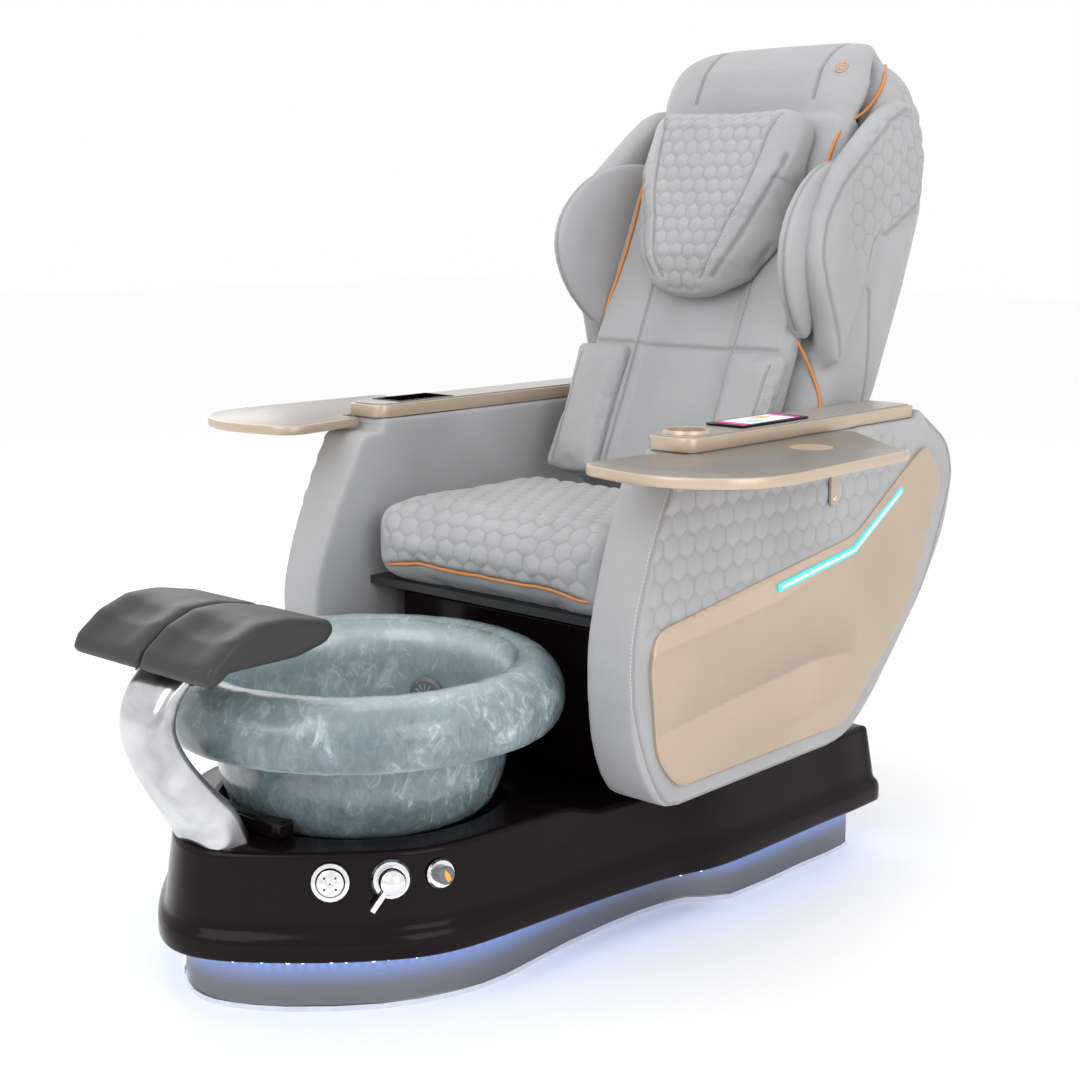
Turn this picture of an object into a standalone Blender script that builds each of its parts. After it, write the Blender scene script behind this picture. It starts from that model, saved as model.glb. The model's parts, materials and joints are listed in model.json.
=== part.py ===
"""Pedicure spa chair: a moulded base with a foot basin, and a sliding massage chair with swing-out trays.

Metres, +Z up. The chair faces -Y, its occupant's left is +X, and the origin is on the floor under the plinth.
"""

import math

import bmesh
import bpy
from mathutils import Matrix, Vector

GAP = 0.0003
RUNNING = 0.0015

# Plinth and base shell
PLINTH_HEIGHT = 0.090
PLINTH_WALL = 0.004
TRIM_HEIGHT = 0.008
TRIM_REACH = 0.003
LIP_TOP = 0.128
DECK_Z = 0.230
POD_Z = 0.249
POD_REAR = -0.110
WALL_TOP_INSET = 0.026
WALL_FOOT_INSET = 0.013
SHELL_WALL = 0.004
PLINTH_SIDE = [(0.0, -0.624), (0.052, -0.611), (0.125, -0.565), (0.220, -0.465), (0.270, -0.360), (0.284, -0.265),
               (0.274, -0.110), (0.279, 0.070), (0.302, 0.165), (0.350, 0.230), (0.357, 0.430),
               (0.361, 0.560), (0.335, 0.598), (0.200, 0.600)]
LIP_SIDE = [(0.0, -0.672), (0.048, -0.662), (0.108, -0.626), (0.200, -0.545), (0.275, -0.455), (0.308, -0.375),
            (0.322, -0.270), (0.333, -0.140), (0.347, -0.030), (0.362, 0.055), (0.385, 0.125),
            (0.396, 0.220), (0.401, 0.450), (0.405, 0.590), (0.378, 0.640), (0.200, 0.643)]

# Basin
BASIN_Y = -0.295
BASIN_WALL_RADIUS = 0.236
BASIN_MOUTH = BASIN_WALL_RADIUS - 0.004
BASIN_CREST = BASIN_WALL_RADIUS + 0.038
BASIN_RADIUS = BASIN_WALL_RADIUS + 0.088
BASIN_RIM_Z = 0.476
BASIN_SKIRT_Z = 0.374
BASIN_WALL = 0.012
DRAIN_RADIUS = 0.030
JET_RADIUS = 0.032

# Fittings on the front left wall
FITTING_Z = 0.208

# Footrest
ARM_PATH = [(-0.572, 0.200, 0.082), (-0.616, 0.284, 0.074), (-0.668, 0.355, 0.060), (-0.703, 0.420, 0.050),
            (-0.704, 0.462, 0.044), (-0.686, 0.498, 0.036), (-0.664, 0.522, 0.029), (-0.648, 0.536, 0.026)]
ARM_WIDTH = 0.116
FOOT_PIVOT = (-0.662, 0.524)
FOOT_PIN_RADIUS = 0.006
FOOT_TILT = 22.0
PAD_WIDTH = 0.162

# Chair: seat and arms
SEAT_HALF = 0.272
SEAT_FRONT = -0.029
SEAT_BACK = 0.410
SEAT_BOTTOM = 0.520
SEAT_TOP = 0.655
ARM_INNER = 0.300
ARM_OUTER = 0.410
ARM_LOW = 0.237
CAP_INNER = 0.304
CAP_OUTER = 0.400
CAP_TOP = 0.820
CAP_THICK = 0.023
CAP_FRONT = 0.035
CAP_REAR = 0.700
PANEL_THICK = 0.010
TRAY_THICK = 0.017
TRAY_PIVOT = (0.436, 0.424)
TRAY_PIN_RADIUS = 0.006
DISC_CENTRE = (0.489, 0.233)
DISC_RADIUS = 0.037
DISC_THICK = 0.0015
CUP_RADIUS = 0.034
CUP_DEPTH = 0.070
CUP_SIDES = 24
CUP_Y = 0.085

# Back: local x across, y up the back, z forward, leaning about the hinge axis
BACK_LEAN = math.radians(24.0)
BACK_ORIGIN = (0.0, 0.425, 0.655)
HINGE_Y = 0.480
HINGE_Z = 0.600
PAD_FACE = -0.044
PAD_THICK = 0.042

collection = None
cutters = None


def clear_scene():
    """Remove what the start-up file holds and make the two collections."""
    global collection, cutters
    for obj in list(bpy.data.objects):
        bpy.data.objects.remove(obj)
    collection = bpy.data.collections.new("pedicure_spa_chair")
    cutters = bpy.data.collections.new("cutters")
    bpy.context.scene.collection.children.link(collection)
    bpy.context.scene.collection.children.link(cutters)


def material(name, colour, roughness, metallic=0.0):
    """Find or make a Principled material."""
    found = bpy.data.materials.get(name)
    if found:
        return found
    made = bpy.data.materials.new(name)
    made.use_nodes = True
    shader = made.node_tree.nodes["Principled BSDF"]
    shader.inputs["Base Color"].default_value = (*colour, 1.0)
    shader.inputs["Roughness"].default_value = roughness
    shader.inputs["Metallic"].default_value = metallic
    return made


def leather():
    return material("grey_leather", (0.50, 0.50, 0.52), 0.55)


def champagne():
    return material("champagne_metal", (0.60, 0.50, 0.36), 0.30, 0.8)


def gloss_black():
    return material("gloss_black_shell", (0.012, 0.007, 0.008), 0.12)


def chrome():
    return material("chrome", (0.80, 0.80, 0.82), 0.08, 1.0)


def steel():
    return material("brushed_steel", (0.45, 0.46, 0.48), 0.35, 1.0)


def dark_steel():
    return material("painted_steel", (0.05, 0.05, 0.055), 0.50, 0.5)


def rubber():
    return material("black_pad", (0.030, 0.030, 0.033), 0.45)


def glass():
    return material("rippled_glass", (0.30, 0.42, 0.44), 0.15)


def plastic():
    return material("grey_plastic", (0.16, 0.17, 0.18), 0.40)


def light_blue():
    return material("blue_light", (0.20, 0.40, 0.95), 0.40)


def light_cyan():
    return material("cyan_light", (0.25, 0.90, 0.90), 0.40)


def finish(obj, look, where=None):
    """Put an object in its collection, give it its material and shade it smooth up to 35 degrees."""
    for old in list(obj.users_collection):
        old.objects.unlink(obj)
    (where or collection).objects.link(obj)
    if where is cutters:
        obj.hide_render = True
        obj.display_type = "WIRE"
        return obj
    obj.data.materials.clear()
    obj.data.materials.append(look)
    obj.data.shade_smooth()
    obj.data.set_sharp_from_angle(angle=math.radians(35))
    return obj


def from_bmesh(name, mesh, look, where=None):
    """Make an object of a bmesh, with its normals facing out."""
    bmesh.ops.recalc_face_normals(mesh, faces=mesh.faces)
    if mesh.calc_volume(signed=True) < 0:
        bmesh.ops.reverse_faces(mesh, faces=mesh.faces)
    data = bpy.data.meshes.new(name)
    mesh.to_mesh(data)
    mesh.free()
    return finish(bpy.data.objects.new(name, data), look, where)


def bevel(obj, width, segments=2, angle=40):
    made = obj.modifiers.new("bevel", "BEVEL")
    made.width = width
    made.segments = segments
    made.limit_method = "ANGLE"
    made.angle_limit = math.radians(angle)
    made.use_clamp_overlap = True
    return obj


def boolean(obj, other, operation="DIFFERENCE"):
    made = obj.modifiers.new(operation.lower(), "BOOLEAN")
    made.operation = operation
    made.solver = "EXACT"
    made.object = other
    return obj


def box(name, low, high, look=None, where=None):
    """A box between two corners."""
    mesh = bmesh.new()
    size = [b - a for a, b in zip(low, high)]
    centre = [(a + b) / 2 for a, b in zip(low, high)]
    bmesh.ops.create_cube(mesh, size=1.0)
    bmesh.ops.scale(mesh, vec=size, verts=mesh.verts)
    obj = from_bmesh(name, mesh, look, where)
    obj.location = centre
    return obj


def cylinder(name, radius, length, centre, axis, look=None, where=None, sides=20):
    """A cylinder about an axis through its centre."""
    mesh = bmesh.new()
    bmesh.ops.create_cone(mesh, cap_ends=True, segments=sides, radius1=radius, radius2=radius, depth=length)
    obj = from_bmesh(name, mesh, look, where)
    obj.location = centre
    obj.rotation_euler = Vector(axis).to_track_quat("Z", "Y").to_euler()
    return obj


def turned(name, profile, look, centre, axis=(0, 0, 1), steps=20, where=None):
    """Turn a closed (radius, height) profile about an axis."""
    data = bpy.data.meshes.new(name)
    points = [(r, 0.0, z) for r, z in profile]
    closed = all(r > 0.0 for r, _ in profile)
    edges = [(i, i + 1) for i in range(len(points) - 1)]
    if closed:
        edges.append((len(points) - 1, 0))
    data.from_pydata(points, edges, [])
    obj = bpy.data.objects.new(name, data)
    screw = obj.modifiers.new("screw", "SCREW")
    screw.steps = steps
    screw.render_steps = steps
    screw.use_merge_vertices = True
    screw.merge_threshold = 0.0001
    screw.use_smooth_shade = True
    obj.location = centre
    obj.rotation_euler = Vector(axis).to_track_quat("Z", "Y").to_euler()
    return finish(obj, look, where)


def rounded(points, radius, steps=3):
    """Replace each corner of a closed outline by an arc, of its own radius where a list is given."""
    out = []
    count = len(points)
    for i, here in enumerate(points):
        size = radius[i] if isinstance(radius, (list, tuple)) else radius
        p = Vector(here)
        before = Vector(points[i - 1]) - p
        after = Vector(points[(i + 1) % count]) - p
        reach = min(size, 0.45 * before.length, 0.45 * after.length)
        if reach < 0.0008:
            out.append(tuple(p))
            continue
        a = p + before.normalized() * reach
        b = p + after.normalized() * reach
        for k in range(steps + 1):
            t = k / steps
            out.append(tuple((1 - t) ** 2 * a + 2 * t * (1 - t) * p + t ** 2 * b))
    return out


def smooth_curve(points, steps):
    """Points on a smooth open curve through the given ones."""
    path = [Vector(p) for p in points]
    ends = [2 * path[0] - path[1]] + path + [2 * path[-1] - path[-2]]
    out = []
    for i in range(1, len(ends) - 2):
        a, b, c, d = ends[i - 1:i + 3]
        for k in range(steps):
            t = k / steps
            out.append(0.5 * (2 * b + (c - a) * t + (2 * a - 5 * b + 4 * c - d) * t * t
                              + (3 * b - a - 3 * c + d) * t ** 3))
    out.append(path[-1])
    return out


def mirrored_outline(side, steps=2):
    """A closed outline, mirror-symmetric in x, from its half; the front point lies on x = 0."""
    front = (-side[1][0], side[1][1])
    half = smooth_curve([front] + side, steps)[steps:]
    half[0] = Vector(side[0])
    left = [(-p.x, p.y) for p in reversed(half[1:])]
    return [(p.x, p.y) for p in half] + left


def inset(outline, distance):
    """Move a closed outline inwards, or outwards where the distance is negative."""
    count = len(outline)
    area = sum(outline[i - 1][0] * outline[i][1] - outline[i][0] * outline[i - 1][1] for i in range(count))
    turn = 1.0 if area > 0 else -1.0
    out = []
    for i in range(count):
        p = Vector(outline[i])
        along = (Vector(outline[(i + 1) % count]) - Vector(outline[i - 1])).normalized()
        out.append(tuple(p + Vector((-along.y, along.x)) * distance * turn))
    return out


def plate(name, outline, thickness, look=None, holes=(), where=None):
    """A flat outline in x and y, from z = 0 up to its thickness, with any holes, as a mesh."""
    curve = bpy.data.curves.new(name, "CURVE")
    curve.dimensions = "2D"
    curve.fill_mode = "BOTH"
    curve.extrude = thickness / 2
    for loop in [outline, *holes]:
        spline = curve.splines.new("POLY")
        spline.points.add(len(loop) - 1)
        for point, (x, y) in zip(spline.points, loop):
            point.co = (x, y, thickness / 2, 1.0)
        spline.use_cyclic_u = True
    shape = bpy.data.objects.new(name + "_curve", curve)
    bpy.context.scene.collection.objects.link(shape)
    bpy.context.view_layer.update()
    data = bpy.data.meshes.new_from_object(shape.evaluated_get(bpy.context.evaluated_depsgraph_get()))
    bpy.data.objects.remove(shape)
    mesh = bmesh.new()
    mesh.from_mesh(data)
    bmesh.ops.remove_doubles(mesh, verts=mesh.verts, dist=0.00002)
    low = min(v.co.z for v in mesh.verts)
    bmesh.ops.translate(mesh, verts=mesh.verts, vec=(0, 0, -low))
    bmesh.ops.dissolve_limit(mesh, angle_limit=0.001, verts=mesh.verts, edges=mesh.edges)
    return from_bmesh(name, mesh, look, where)


def side_plate(name, outline, x_low, x_high, look=None, holes=(), where=None):
    """A plate whose outline is in y and z, between two x."""
    obj = plate(name, outline, x_high - x_low, look, holes, where)
    turn = Matrix(((0, 0, 1, x_low), (1, 0, 0, 0), (0, 1, 0, 0), (0, 0, 0, 1)))
    obj.data.transform(turn)
    return obj


def loft(name, rings, look, open_bottom=False, where=None):
    """Join rings of equal count, each a list of points, and close the ends."""
    mesh = bmesh.new()
    made = [[mesh.verts.new(p) for p in ring] for ring in rings]
    for low, high in zip(made, made[1:]):
        count = len(low)
        for i in range(count):
            j = (i + 1) % count
            mesh.faces.new((low[i], low[j], high[j], high[i]))
    if not open_bottom:
        mesh.faces.new(list(reversed(made[0])))
    mesh.faces.new(made[-1])
    return from_bmesh(name, mesh, look, where)


def mirror_x(obj, name):
    """A mirrored copy of a finished object across x = 0."""
    graph = bpy.context.evaluated_depsgraph_get()
    bpy.context.view_layer.update()
    data = bpy.data.meshes.new_from_object(obj.evaluated_get(graph))
    data.transform(Matrix.Scale(-1, 4, (1, 0, 0)) @ obj.matrix_world)
    data.flip_normals()
    return finish(bpy.data.objects.new(name, data), obj.data.materials[0])


def pivot(name, point):
    """An empty on a joint's axis, for the pieces that turn there."""
    empty = bpy.data.objects.new(name, None)
    empty.location = point
    empty.empty_display_size = 0.05
    collection.objects.link(empty)
    bpy.context.view_layer.update()
    return empty


def hang(obj, empty, own_frame=Matrix()):
    """Parent an object, modelled in own_frame, to an empty, with its shape left in place."""
    obj.parent = empty
    obj.matrix_parent_inverse = empty.matrix_world.inverted() @ own_frame
    return obj


def level(outline, z):
    return [(x, y, z) for x, y in outline]


# ---------------------------------------------------------------- base

def plinth():
    """Brushed skirt on a chrome trim, a floor pan inside it and a light strip under the base's lip."""
    outline = mirrored_outline(PLINTH_SIDE)
    lights = mirrored_outline(LIP_SIDE)
    plate("floor_pan", inset(outline, PLINTH_WALL + 0.004), 0.006, dark_steel())
    plate("plinth_trim", inset(outline, -TRIM_REACH), TRIM_HEIGHT, chrome(), [inset(outline, PLINTH_WALL)])
    skirt = plate("plinth_skirt", outline, PLINTH_HEIGHT - TRIM_HEIGHT - 2 * GAP, steel(),
                  [inset(outline, PLINTH_WALL)])
    skirt.location.z = TRIM_HEIGHT + GAP
    strip = plate("plinth_light_strip", inset(lights, 0.020), 0.004, light_blue(), [inset(lights, 0.026)])
    strip.location.z = PLINTH_HEIGHT - 0.004 - GAP


def base_shell():
    """Glossy moulded shell: a rounded lip, a leaning wall and a flat deck, open underneath."""
    outline = mirrored_outline(LIP_SIDE)
    heights = [(PLINTH_HEIGHT, 0.006), (PLINTH_HEIGHT + 0.006, 0.0), (LIP_TOP - 0.008, 0.0), (LIP_TOP, 0.007),
               (LIP_TOP + 0.022, WALL_FOOT_INSET), (DECK_Z - 0.006, WALL_TOP_INSET), (DECK_Z, WALL_TOP_INSET + 0.006)]
    outer = [level(inset(outline, d), z) for z, d in heights]
    shell = loft("base_shell", outer, gloss_black())
    rise = [(LIP_TOP + 0.022, WALL_FOOT_INSET), (POD_Z - 0.008, WALL_TOP_INSET + 0.001), (POD_Z, WALL_TOP_INSET + 0.009)]
    pod = loft("front_pod", [level(inset(outline, d), z) for z, d in rise], None, where=cutters)
    front = box("pod_limit", (-0.5, -1.0, 0.1), (0.5, POD_REAR, 0.4), None, cutters)
    boolean(shell, boolean(pod, front, "INTERSECT"), "UNION")
    well = cylinder("basin_well", BASIN_WALL_RADIUS - 0.004, 0.1, (0, BASIN_Y, DECK_Z + 0.05), (0, 0, 1), None,
                    cutters, 48)
    boolean(shell, well)
    room = [(PLINTH_HEIGHT - 0.01, 0.028), (LIP_TOP, 0.028), (DECK_Z - 0.008, 0.034), (DECK_Z - SHELL_WALL, 0.040)]
    inside = loft("base_room", [level(inset(outline, d), z) for z, d in room], None, where=cutters)
    boolean(shell, inside)
    drain = cylinder("drain_cut", DRAIN_RADIUS * 0.8 + RUNNING, 0.08, (0, BASIN_Y, DECK_Z), (0, 0, 1), None, cutters)
    boolean(shell, drain)
    return shell


def basin():
    """Turned bowl with a rolled rim, its drain and the jet cover on the rear wall."""
    base_z = DECK_Z + GAP
    foot = BASIN_WALL_RADIUS - 0.086
    wall = BASIN_WALL
    rim_inner = BASIN_MOUTH - wall
    profile = [(DRAIN_RADIUS, base_z + 0.016), (foot, base_z + 0.016),
               (BASIN_WALL_RADIUS - 0.040, base_z + 0.034), (BASIN_WALL_RADIUS - 0.020, base_z + 0.075), (rim_inner, BASIN_SKIRT_Z), (rim_inner + 0.006, BASIN_RIM_Z - 0.030),
               (rim_inner + 0.022, BASIN_RIM_Z - 0.008), (BASIN_CREST, BASIN_RIM_Z), (BASIN_CREST + 0.024, BASIN_RIM_Z - 0.010),
               (BASIN_CREST + 0.042, BASIN_RIM_Z - 0.030), (BASIN_RADIUS, BASIN_RIM_Z - 0.055),
               (BASIN_RADIUS - 0.003, BASIN_SKIRT_Z + 0.018), (BASIN_RADIUS - 0.014, BASIN_SKIRT_Z),
               (BASIN_RADIUS - 0.024, BASIN_SKIRT_Z + 0.004), (BASIN_RADIUS - 0.016, BASIN_SKIRT_Z + 0.030),
               (BASIN_CREST + 0.020, BASIN_RIM_Z - 0.030), (BASIN_CREST - 0.012, BASIN_RIM_Z - 0.022),
               (BASIN_WALL_RADIUS + 0.006, BASIN_SKIRT_Z + 0.010), (BASIN_WALL_RADIUS - 0.006, 0.300),
               (BASIN_WALL_RADIUS - 0.031, base_z + 0.012), (BASIN_WALL_RADIUS - 0.051, base_z), (DRAIN_RADIUS, base_z)]
    turned("basin", profile, glass(), (0, BASIN_Y, 0), steps=36)
    fit = DRAIN_RADIUS - RUNNING
    top = base_z + 0.016 + GAP
    turned("basin_drain", [(0.0, top + 0.004), (0.040, top + 0.003), (0.042, top), (fit, top), (fit, base_z + 0.001),
                           (DRAIN_RADIUS * 0.8, base_z), (DRAIN_RADIUS * 0.8, DECK_Z - 0.030),
                           (0.0, DECK_Z - 0.030)], chrome(), (0, BASIN_Y, 0))
    angle = math.radians(107)
    reach = rim_inner - 0.0075
    spot = (reach * math.cos(angle), BASIN_Y + reach * math.sin(angle), 0.352)
    turned("basin_jet_cover", [(0.0, 0.007), (JET_RADIUS * 0.8, 0.006), (JET_RADIUS, 0.002), (JET_RADIUS, 0.0),
                               (0.0, 0.0)], plastic(), spot, (-math.cos(angle), -math.sin(angle), 0.03))


def machinery():
    """The drain pump, the jet motor and the seat's slide motor, on the floor pan."""
    pump = cylinder("drain_pump", 0.045, 0.11, (-0.12, BASIN_Y + 0.06, 0.055), (1, 0, 0), plastic())
    bevel(pump, 0.004, 1)
    motor = cylinder("jet_motor", 0.050, 0.15, (0.10, BASIN_Y + 0.20, 0.060), (0, 1, 0), plastic())
    bevel(motor, 0.004, 1)
    slide = box("slide_motor", (-0.06, 0.15, DECK_Z + 0.020), (0.06, 0.30, DECK_Z + 0.100), dark_steel())
    bevel(slide, 0.008, 2)


def pedestal():
    """Black box under the seat, open below, with the two fixed slide rails on its top."""
    low, high = (-0.262, 0.046, DECK_Z + GAP), (0.262, 0.520, 0.485)
    shell = box("pedestal_box", low, high, gloss_black())
    inner = [(-0.256, 0.052, DECK_Z - 0.05), (0.256, 0.514, 0.479)]
    boolean(shell, box("pedestal_room", *inner, None, cutters))
    for name, x in (("slide_rail_left", 0.19), ("slide_rail_right", -0.19)):
        box(name, (x - 0.018, 0.06, 0.485 + GAP), (x + 0.018, 0.50, 0.499), steel())


def wall_spot(height, target_y):
    """A point on the base's leaning wall, with its outward direction, at a height and a y."""
    outline = inset(mirrored_outline(LIP_SIDE, 8), (WALL_FOOT_INSET + WALL_TOP_INSET) / 2 + 0.002)
    best = min((p for p in outline if p[0] > 0), key=lambda p: abs(p[1] - target_y))
    i = outline.index(best)
    along = Vector(outline[i + 1]) - Vector(outline[i - 1])
    out = Vector((along.y, -along.x, 0)).normalized()
    if out.x < 0:
        out = -out
    wall_rise = DECK_Z - LIP_TOP - 0.028
    lean = math.atan2(WALL_TOP_INSET - WALL_FOOT_INSET, wall_rise)
    normal = (out * math.cos(lean) + Vector((0, 0, 1)) * math.sin(lean)).normalized()
    return Vector((best[0], best[1], height)), normal


def fittings():
    """The spray head in its dock, the mixer with its lever and the diverter, along the front left wall."""
    spot, out = wall_spot(FITTING_Z, -0.530)
    lift = 0.004
    turned("spray_dock", [(0.022, 0.006), (0.028, 0.005), (0.029, 0.0), (0.022, 0.0)], chrome(),
           spot + out * lift, out)
    turned("spray_head", [(0.0, 0.015), (0.017, 0.014), (0.0205, 0.010), (0.0212, 0.001), (0.0, 0.001)], chrome(),
           spot + out * lift, out)
    spot, out = wall_spot(FITTING_Z, -0.460)
    turned("mixer_escutcheon", [(0.0, 0.006), (0.027, 0.005), (0.030, 0.0), (0.0, 0.0)], chrome(),
           spot + out * lift, out)
    knob = turned("mixer_lever", [(0.0, 0.030), (0.010, 0.028), (0.018, 0.022), (0.021, 0.012), (0.021, 0.0),
                                  (0.0, 0.0)], chrome(), spot + out * (lift + 0.006 + GAP), out)
    down = (Vector((0, 0, -1)) + out * out.z).normalized()
    across = down.cross(out)
    way = (down * 0.8 + across * 0.6).normalized()
    stem = cylinder("mixer_stem", 0.0045, 0.050, knob.location + out * 0.014 + way * 0.026, way, None, cutters)
    boolean(knob, stem, "UNION")
    spot, out = wall_spot(FITTING_Z, -0.395)
    turned("diverter_bezel", [(0.0, 0.005), (0.020, 0.004), (0.0225, 0.0), (0.0, 0.0)], chrome(),
           spot + out * lift, out)
    turned("diverter_knob", [(0.0, 0.016), (0.012, 0.015), (0.014, 0.012), (0.014, 0.0), (0.0, 0.0)], plastic(),
           spot + out * (lift + 0.005 + GAP), out)


def footrest():
    """Cast arm rising from the deck, its brushed cover plate, the tilting plate on its pin and two pads."""
    path = smooth_curve([(y, z, t) for y, z, t in ARM_PATH], 3)
    rings = []
    for i, (y, z, thick) in enumerate(path):
        ahead = path[min(i + 1, len(path) - 1)]
        behind = path[max(i - 1, 0)]
        along = Vector((0, ahead[0] - behind[0], ahead[1] - behind[1])).normalized()
        front = Vector((0, -along.z, along.y))
        half = ARM_WIDTH / 2 * (1 - 0.12 * math.sin(math.pi * i / (len(path) - 1)))
        section = rounded([(-half, -thick / 2), (half, -thick / 2), (half, thick / 2), (-half, thick / 2)],
                          0.3 * thick, 2)
        rings.append([Vector((a, y, z)) + front * b for a, b in section])
    arm = loft("footrest_arm", rings, chrome())
    y, z = FOOT_PIVOT
    hole = cylinder("pin_cut", FOOT_PIN_RADIUS + GAP, 0.3, (0, y, z), (1, 0, 0), None, cutters)
    boolean(arm, hole)
    foot = box("arm_foot_cut", (-0.2, -0.8, 0.1), (0.2, -0.4, POD_Z + GAP), None, cutters)
    boolean(arm, foot)
    for k, tilt in enumerate((-FOOT_TILT, 0.0, FOOT_TILT)):
        head = box("arm_relief_%d" % k, (-0.1, -0.15, 0.0), (0.1, 0.15, 0.1), None, cutters)
        head.data.transform(Matrix.Translation((0, 0, 0.05 + 0.0125)))
        head.location = (0, y, z)
        head.rotation_euler.x = math.radians(tilt)
        boolean(arm, head)
    sides = ARM_WIDTH / 2
    cylinder("footrest_pin", FOOT_PIN_RADIUS, 2 * sides + 0.020, (0, y, z), (1, 0, 0), steel(), sides=20)
    top = z + 0.014
    support = box("footrest_plate", (-sides - 0.010, y - 0.012, top), (sides + 0.010, y + 0.098, top + 0.006),
                  dark_steel())
    hinge = pivot("footrest_hinge", (0, y, z))
    hang(support, hinge)
    for k, x in enumerate((-sides - 0.006, sides + 0.006)):
        ear = box("ear_%d" % k, (x - 0.004, y - 0.014, z - 0.014), (x + 0.004, y + 0.014, top + 0.003),
                  None, cutters)
        boolean(support, ear, "UNION")
    boolean(support, hole)
    edge = [(-0.496, 0.590), (-0.560, 0.600), (-0.625, 0.603), (-0.672, 0.588), (-0.712, 0.558), (-0.722, 0.536),
            (-0.712, 0.526), (-0.690, 0.536)]
    under = top + 0.006 + GAP
    edge += [(-0.684, under), (-0.560, under), (-0.505, 0.556), (-0.488, 0.572)]
    for name, low in (("foot_pad_left", 0.0015), ("foot_pad_right", -0.0015 - PAD_WIDTH)):
        pad = side_plate(name, edge, low, low + PAD_WIDTH, rubber())
        bevel(hang(pad, hinge), 0.006, 2, 30)
    reach = BASIN_WALL_RADIUS - 0.002
    arc = [(reach * math.sin(a), BASIN_Y - reach * math.cos(a)) for a in (math.radians(d) for d in range(-22, 23, 4))]
    block = plate("arm_mount_block", arc + [(0.090, -0.5495), (-0.090, -0.5495)], 0.028, gloss_black())
    block.location.z = POD_Z + GAP
    bevel(block, 0.004, 1, 50)


# ---------------------------------------------------------------- chair

ARM_OUTLINE = [(-0.045, ARM_LOW), (0.500, ARM_LOW), (0.590, 0.310), (0.731, 0.453), (0.818, 0.580), (0.841, 0.690),
               (0.818, 0.746), (CAP_REAR + 0.003, CAP_TOP - 0.004), (CAP_REAR + 0.003, CAP_TOP - CAP_THICK - 2 * GAP),
               (CAP_FRONT + 0.004, CAP_TOP - CAP_THICK - 2 * GAP), (CAP_FRONT + 0.004, CAP_TOP - 0.046),
               (-0.008, CAP_TOP - 0.046), (-0.075, 0.640), (-0.123, 0.500), (-0.105, 0.340)]
ARM_RADII = [0.07, 0.07, 0.0, 0.06, 0.06, 0.06, 0.03, 0.006, 0.0, 0.0, 0.0, 0.02, 0.08, 0.10, 0.10]
PANEL_OUTLINE = [(-0.063, 0.535), (0.495, 0.611), (0.725, 0.754), (0.787, 0.684), (0.675, 0.440), (0.478, 0.269),
                 (-0.009, 0.268), (-0.061, 0.328), (-0.083, 0.484)]
LIGHT_PATH = [(0.256, 0.553), (0.483, 0.585), (0.635, 0.673)]
LIGHT_WIDTH = 0.009


def band(path, width):
    """A closed outline of even width around an open path of three points."""
    left, right = [], []
    for i, p in enumerate(path):
        here = Vector(p)
        before = (here - Vector(path[i - 1])).normalized() if i else None
        after = (Vector(path[i + 1]) - here).normalized() if i < len(path) - 1 else None
        along = ((before or after) + (after or before)).normalized()
        stretch = 1 / max(0.5, along.dot(after or before))
        side = Vector((-along.y, along.x)) * width / 2 * stretch
        left.append(tuple(here + side))
        right.append(tuple(here - side))
    return right + left[::-1]


def cap_outline(shrink=0.0):
    corners = [(CAP_INNER + shrink, CAP_FRONT + shrink), (CAP_OUTER - shrink, CAP_FRONT + shrink),
               (CAP_OUTER - shrink, CAP_REAR - shrink), (CAP_INNER + shrink, CAP_REAR - shrink)]
    return rounded(corners, [0.028, 0.028, 0.006, 0.006], 4)


def arms():
    """Upholstered arm bodies, with moulded side panels and light strips, and caps with soft tops."""
    under = CAP_TOP - CAP_THICK
    cup = cylinder("cup_cut", CUP_RADIUS, 2 * CUP_DEPTH, ((CAP_INNER + CAP_OUTER) / 2, CUP_Y, CAP_TOP), (0, 0, 1),
                   None, cutters, CUP_SIDES)
    pocket = box("pocket_cut", (-0.392, 0.095, CAP_TOP - 0.030), (-0.316, 0.235, CAP_TOP + 0.05), None, cutters)
    for name, sign in (("left", 1), ("right", -1)):
        body = side_plate("arm_body_" + name, rounded(ARM_OUTLINE, ARM_RADII, 3), ARM_INNER, ARM_OUTER, leather())
        bevel(body, 0.010, 2, 50)
        step = box("tray_room_" + name, (CAP_OUTER - 0.002, -0.2, under - 0.024), (0.6, 0.50, 0.9), None, cutters)
        boolean(body, step)
        panel = side_plate("side_panel_" + name, rounded(PANEL_OUTLINE, 0.03, 3), ARM_OUTER + GAP,
                           ARM_OUTER + PANEL_THICK, champagne())
        bevel(panel, 0.003, 1, 50)
        groove = side_plate("light_cut_" + name, band(LIGHT_PATH, LIGHT_WIDTH + 2 * GAP),
                            ARM_OUTER + PANEL_THICK - 0.003, ARM_OUTER + PANEL_THICK + 0.01, None, where=cutters)
        boolean(panel, groove)
        strip = side_plate("side_light_" + name, band(LIGHT_PATH, LIGHT_WIDTH - 2 * GAP),
                           ARM_OUTER + PANEL_THICK - 0.003 + GAP, ARM_OUTER + PANEL_THICK + 0.0015, light_cyan())
        cap = plate("arm_cap_" + name, cap_outline(), CAP_THICK, champagne())
        cap.location.z = under
        bevel(cap, 0.003, 2, 50)
        soft = plate("arm_top_" + name, cap_outline(0.006), 0.002, plastic())
        soft.location.z = CAP_TOP + GAP
        pieces = [body, panel, strip, cap, soft]
        if sign > 0:
            for piece in (body, cap, soft):
                boolean(piece, cup)
        else:
            flipped = []
            for piece in pieces:
                final = piece.name
                piece.name = final + "_source"
                flipped.append(mirror_x(piece, final))
                bpy.data.objects.remove(piece)
            for piece in (flipped[0], flipped[3], flipped[4]):
                boolean(piece, pocket)


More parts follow.
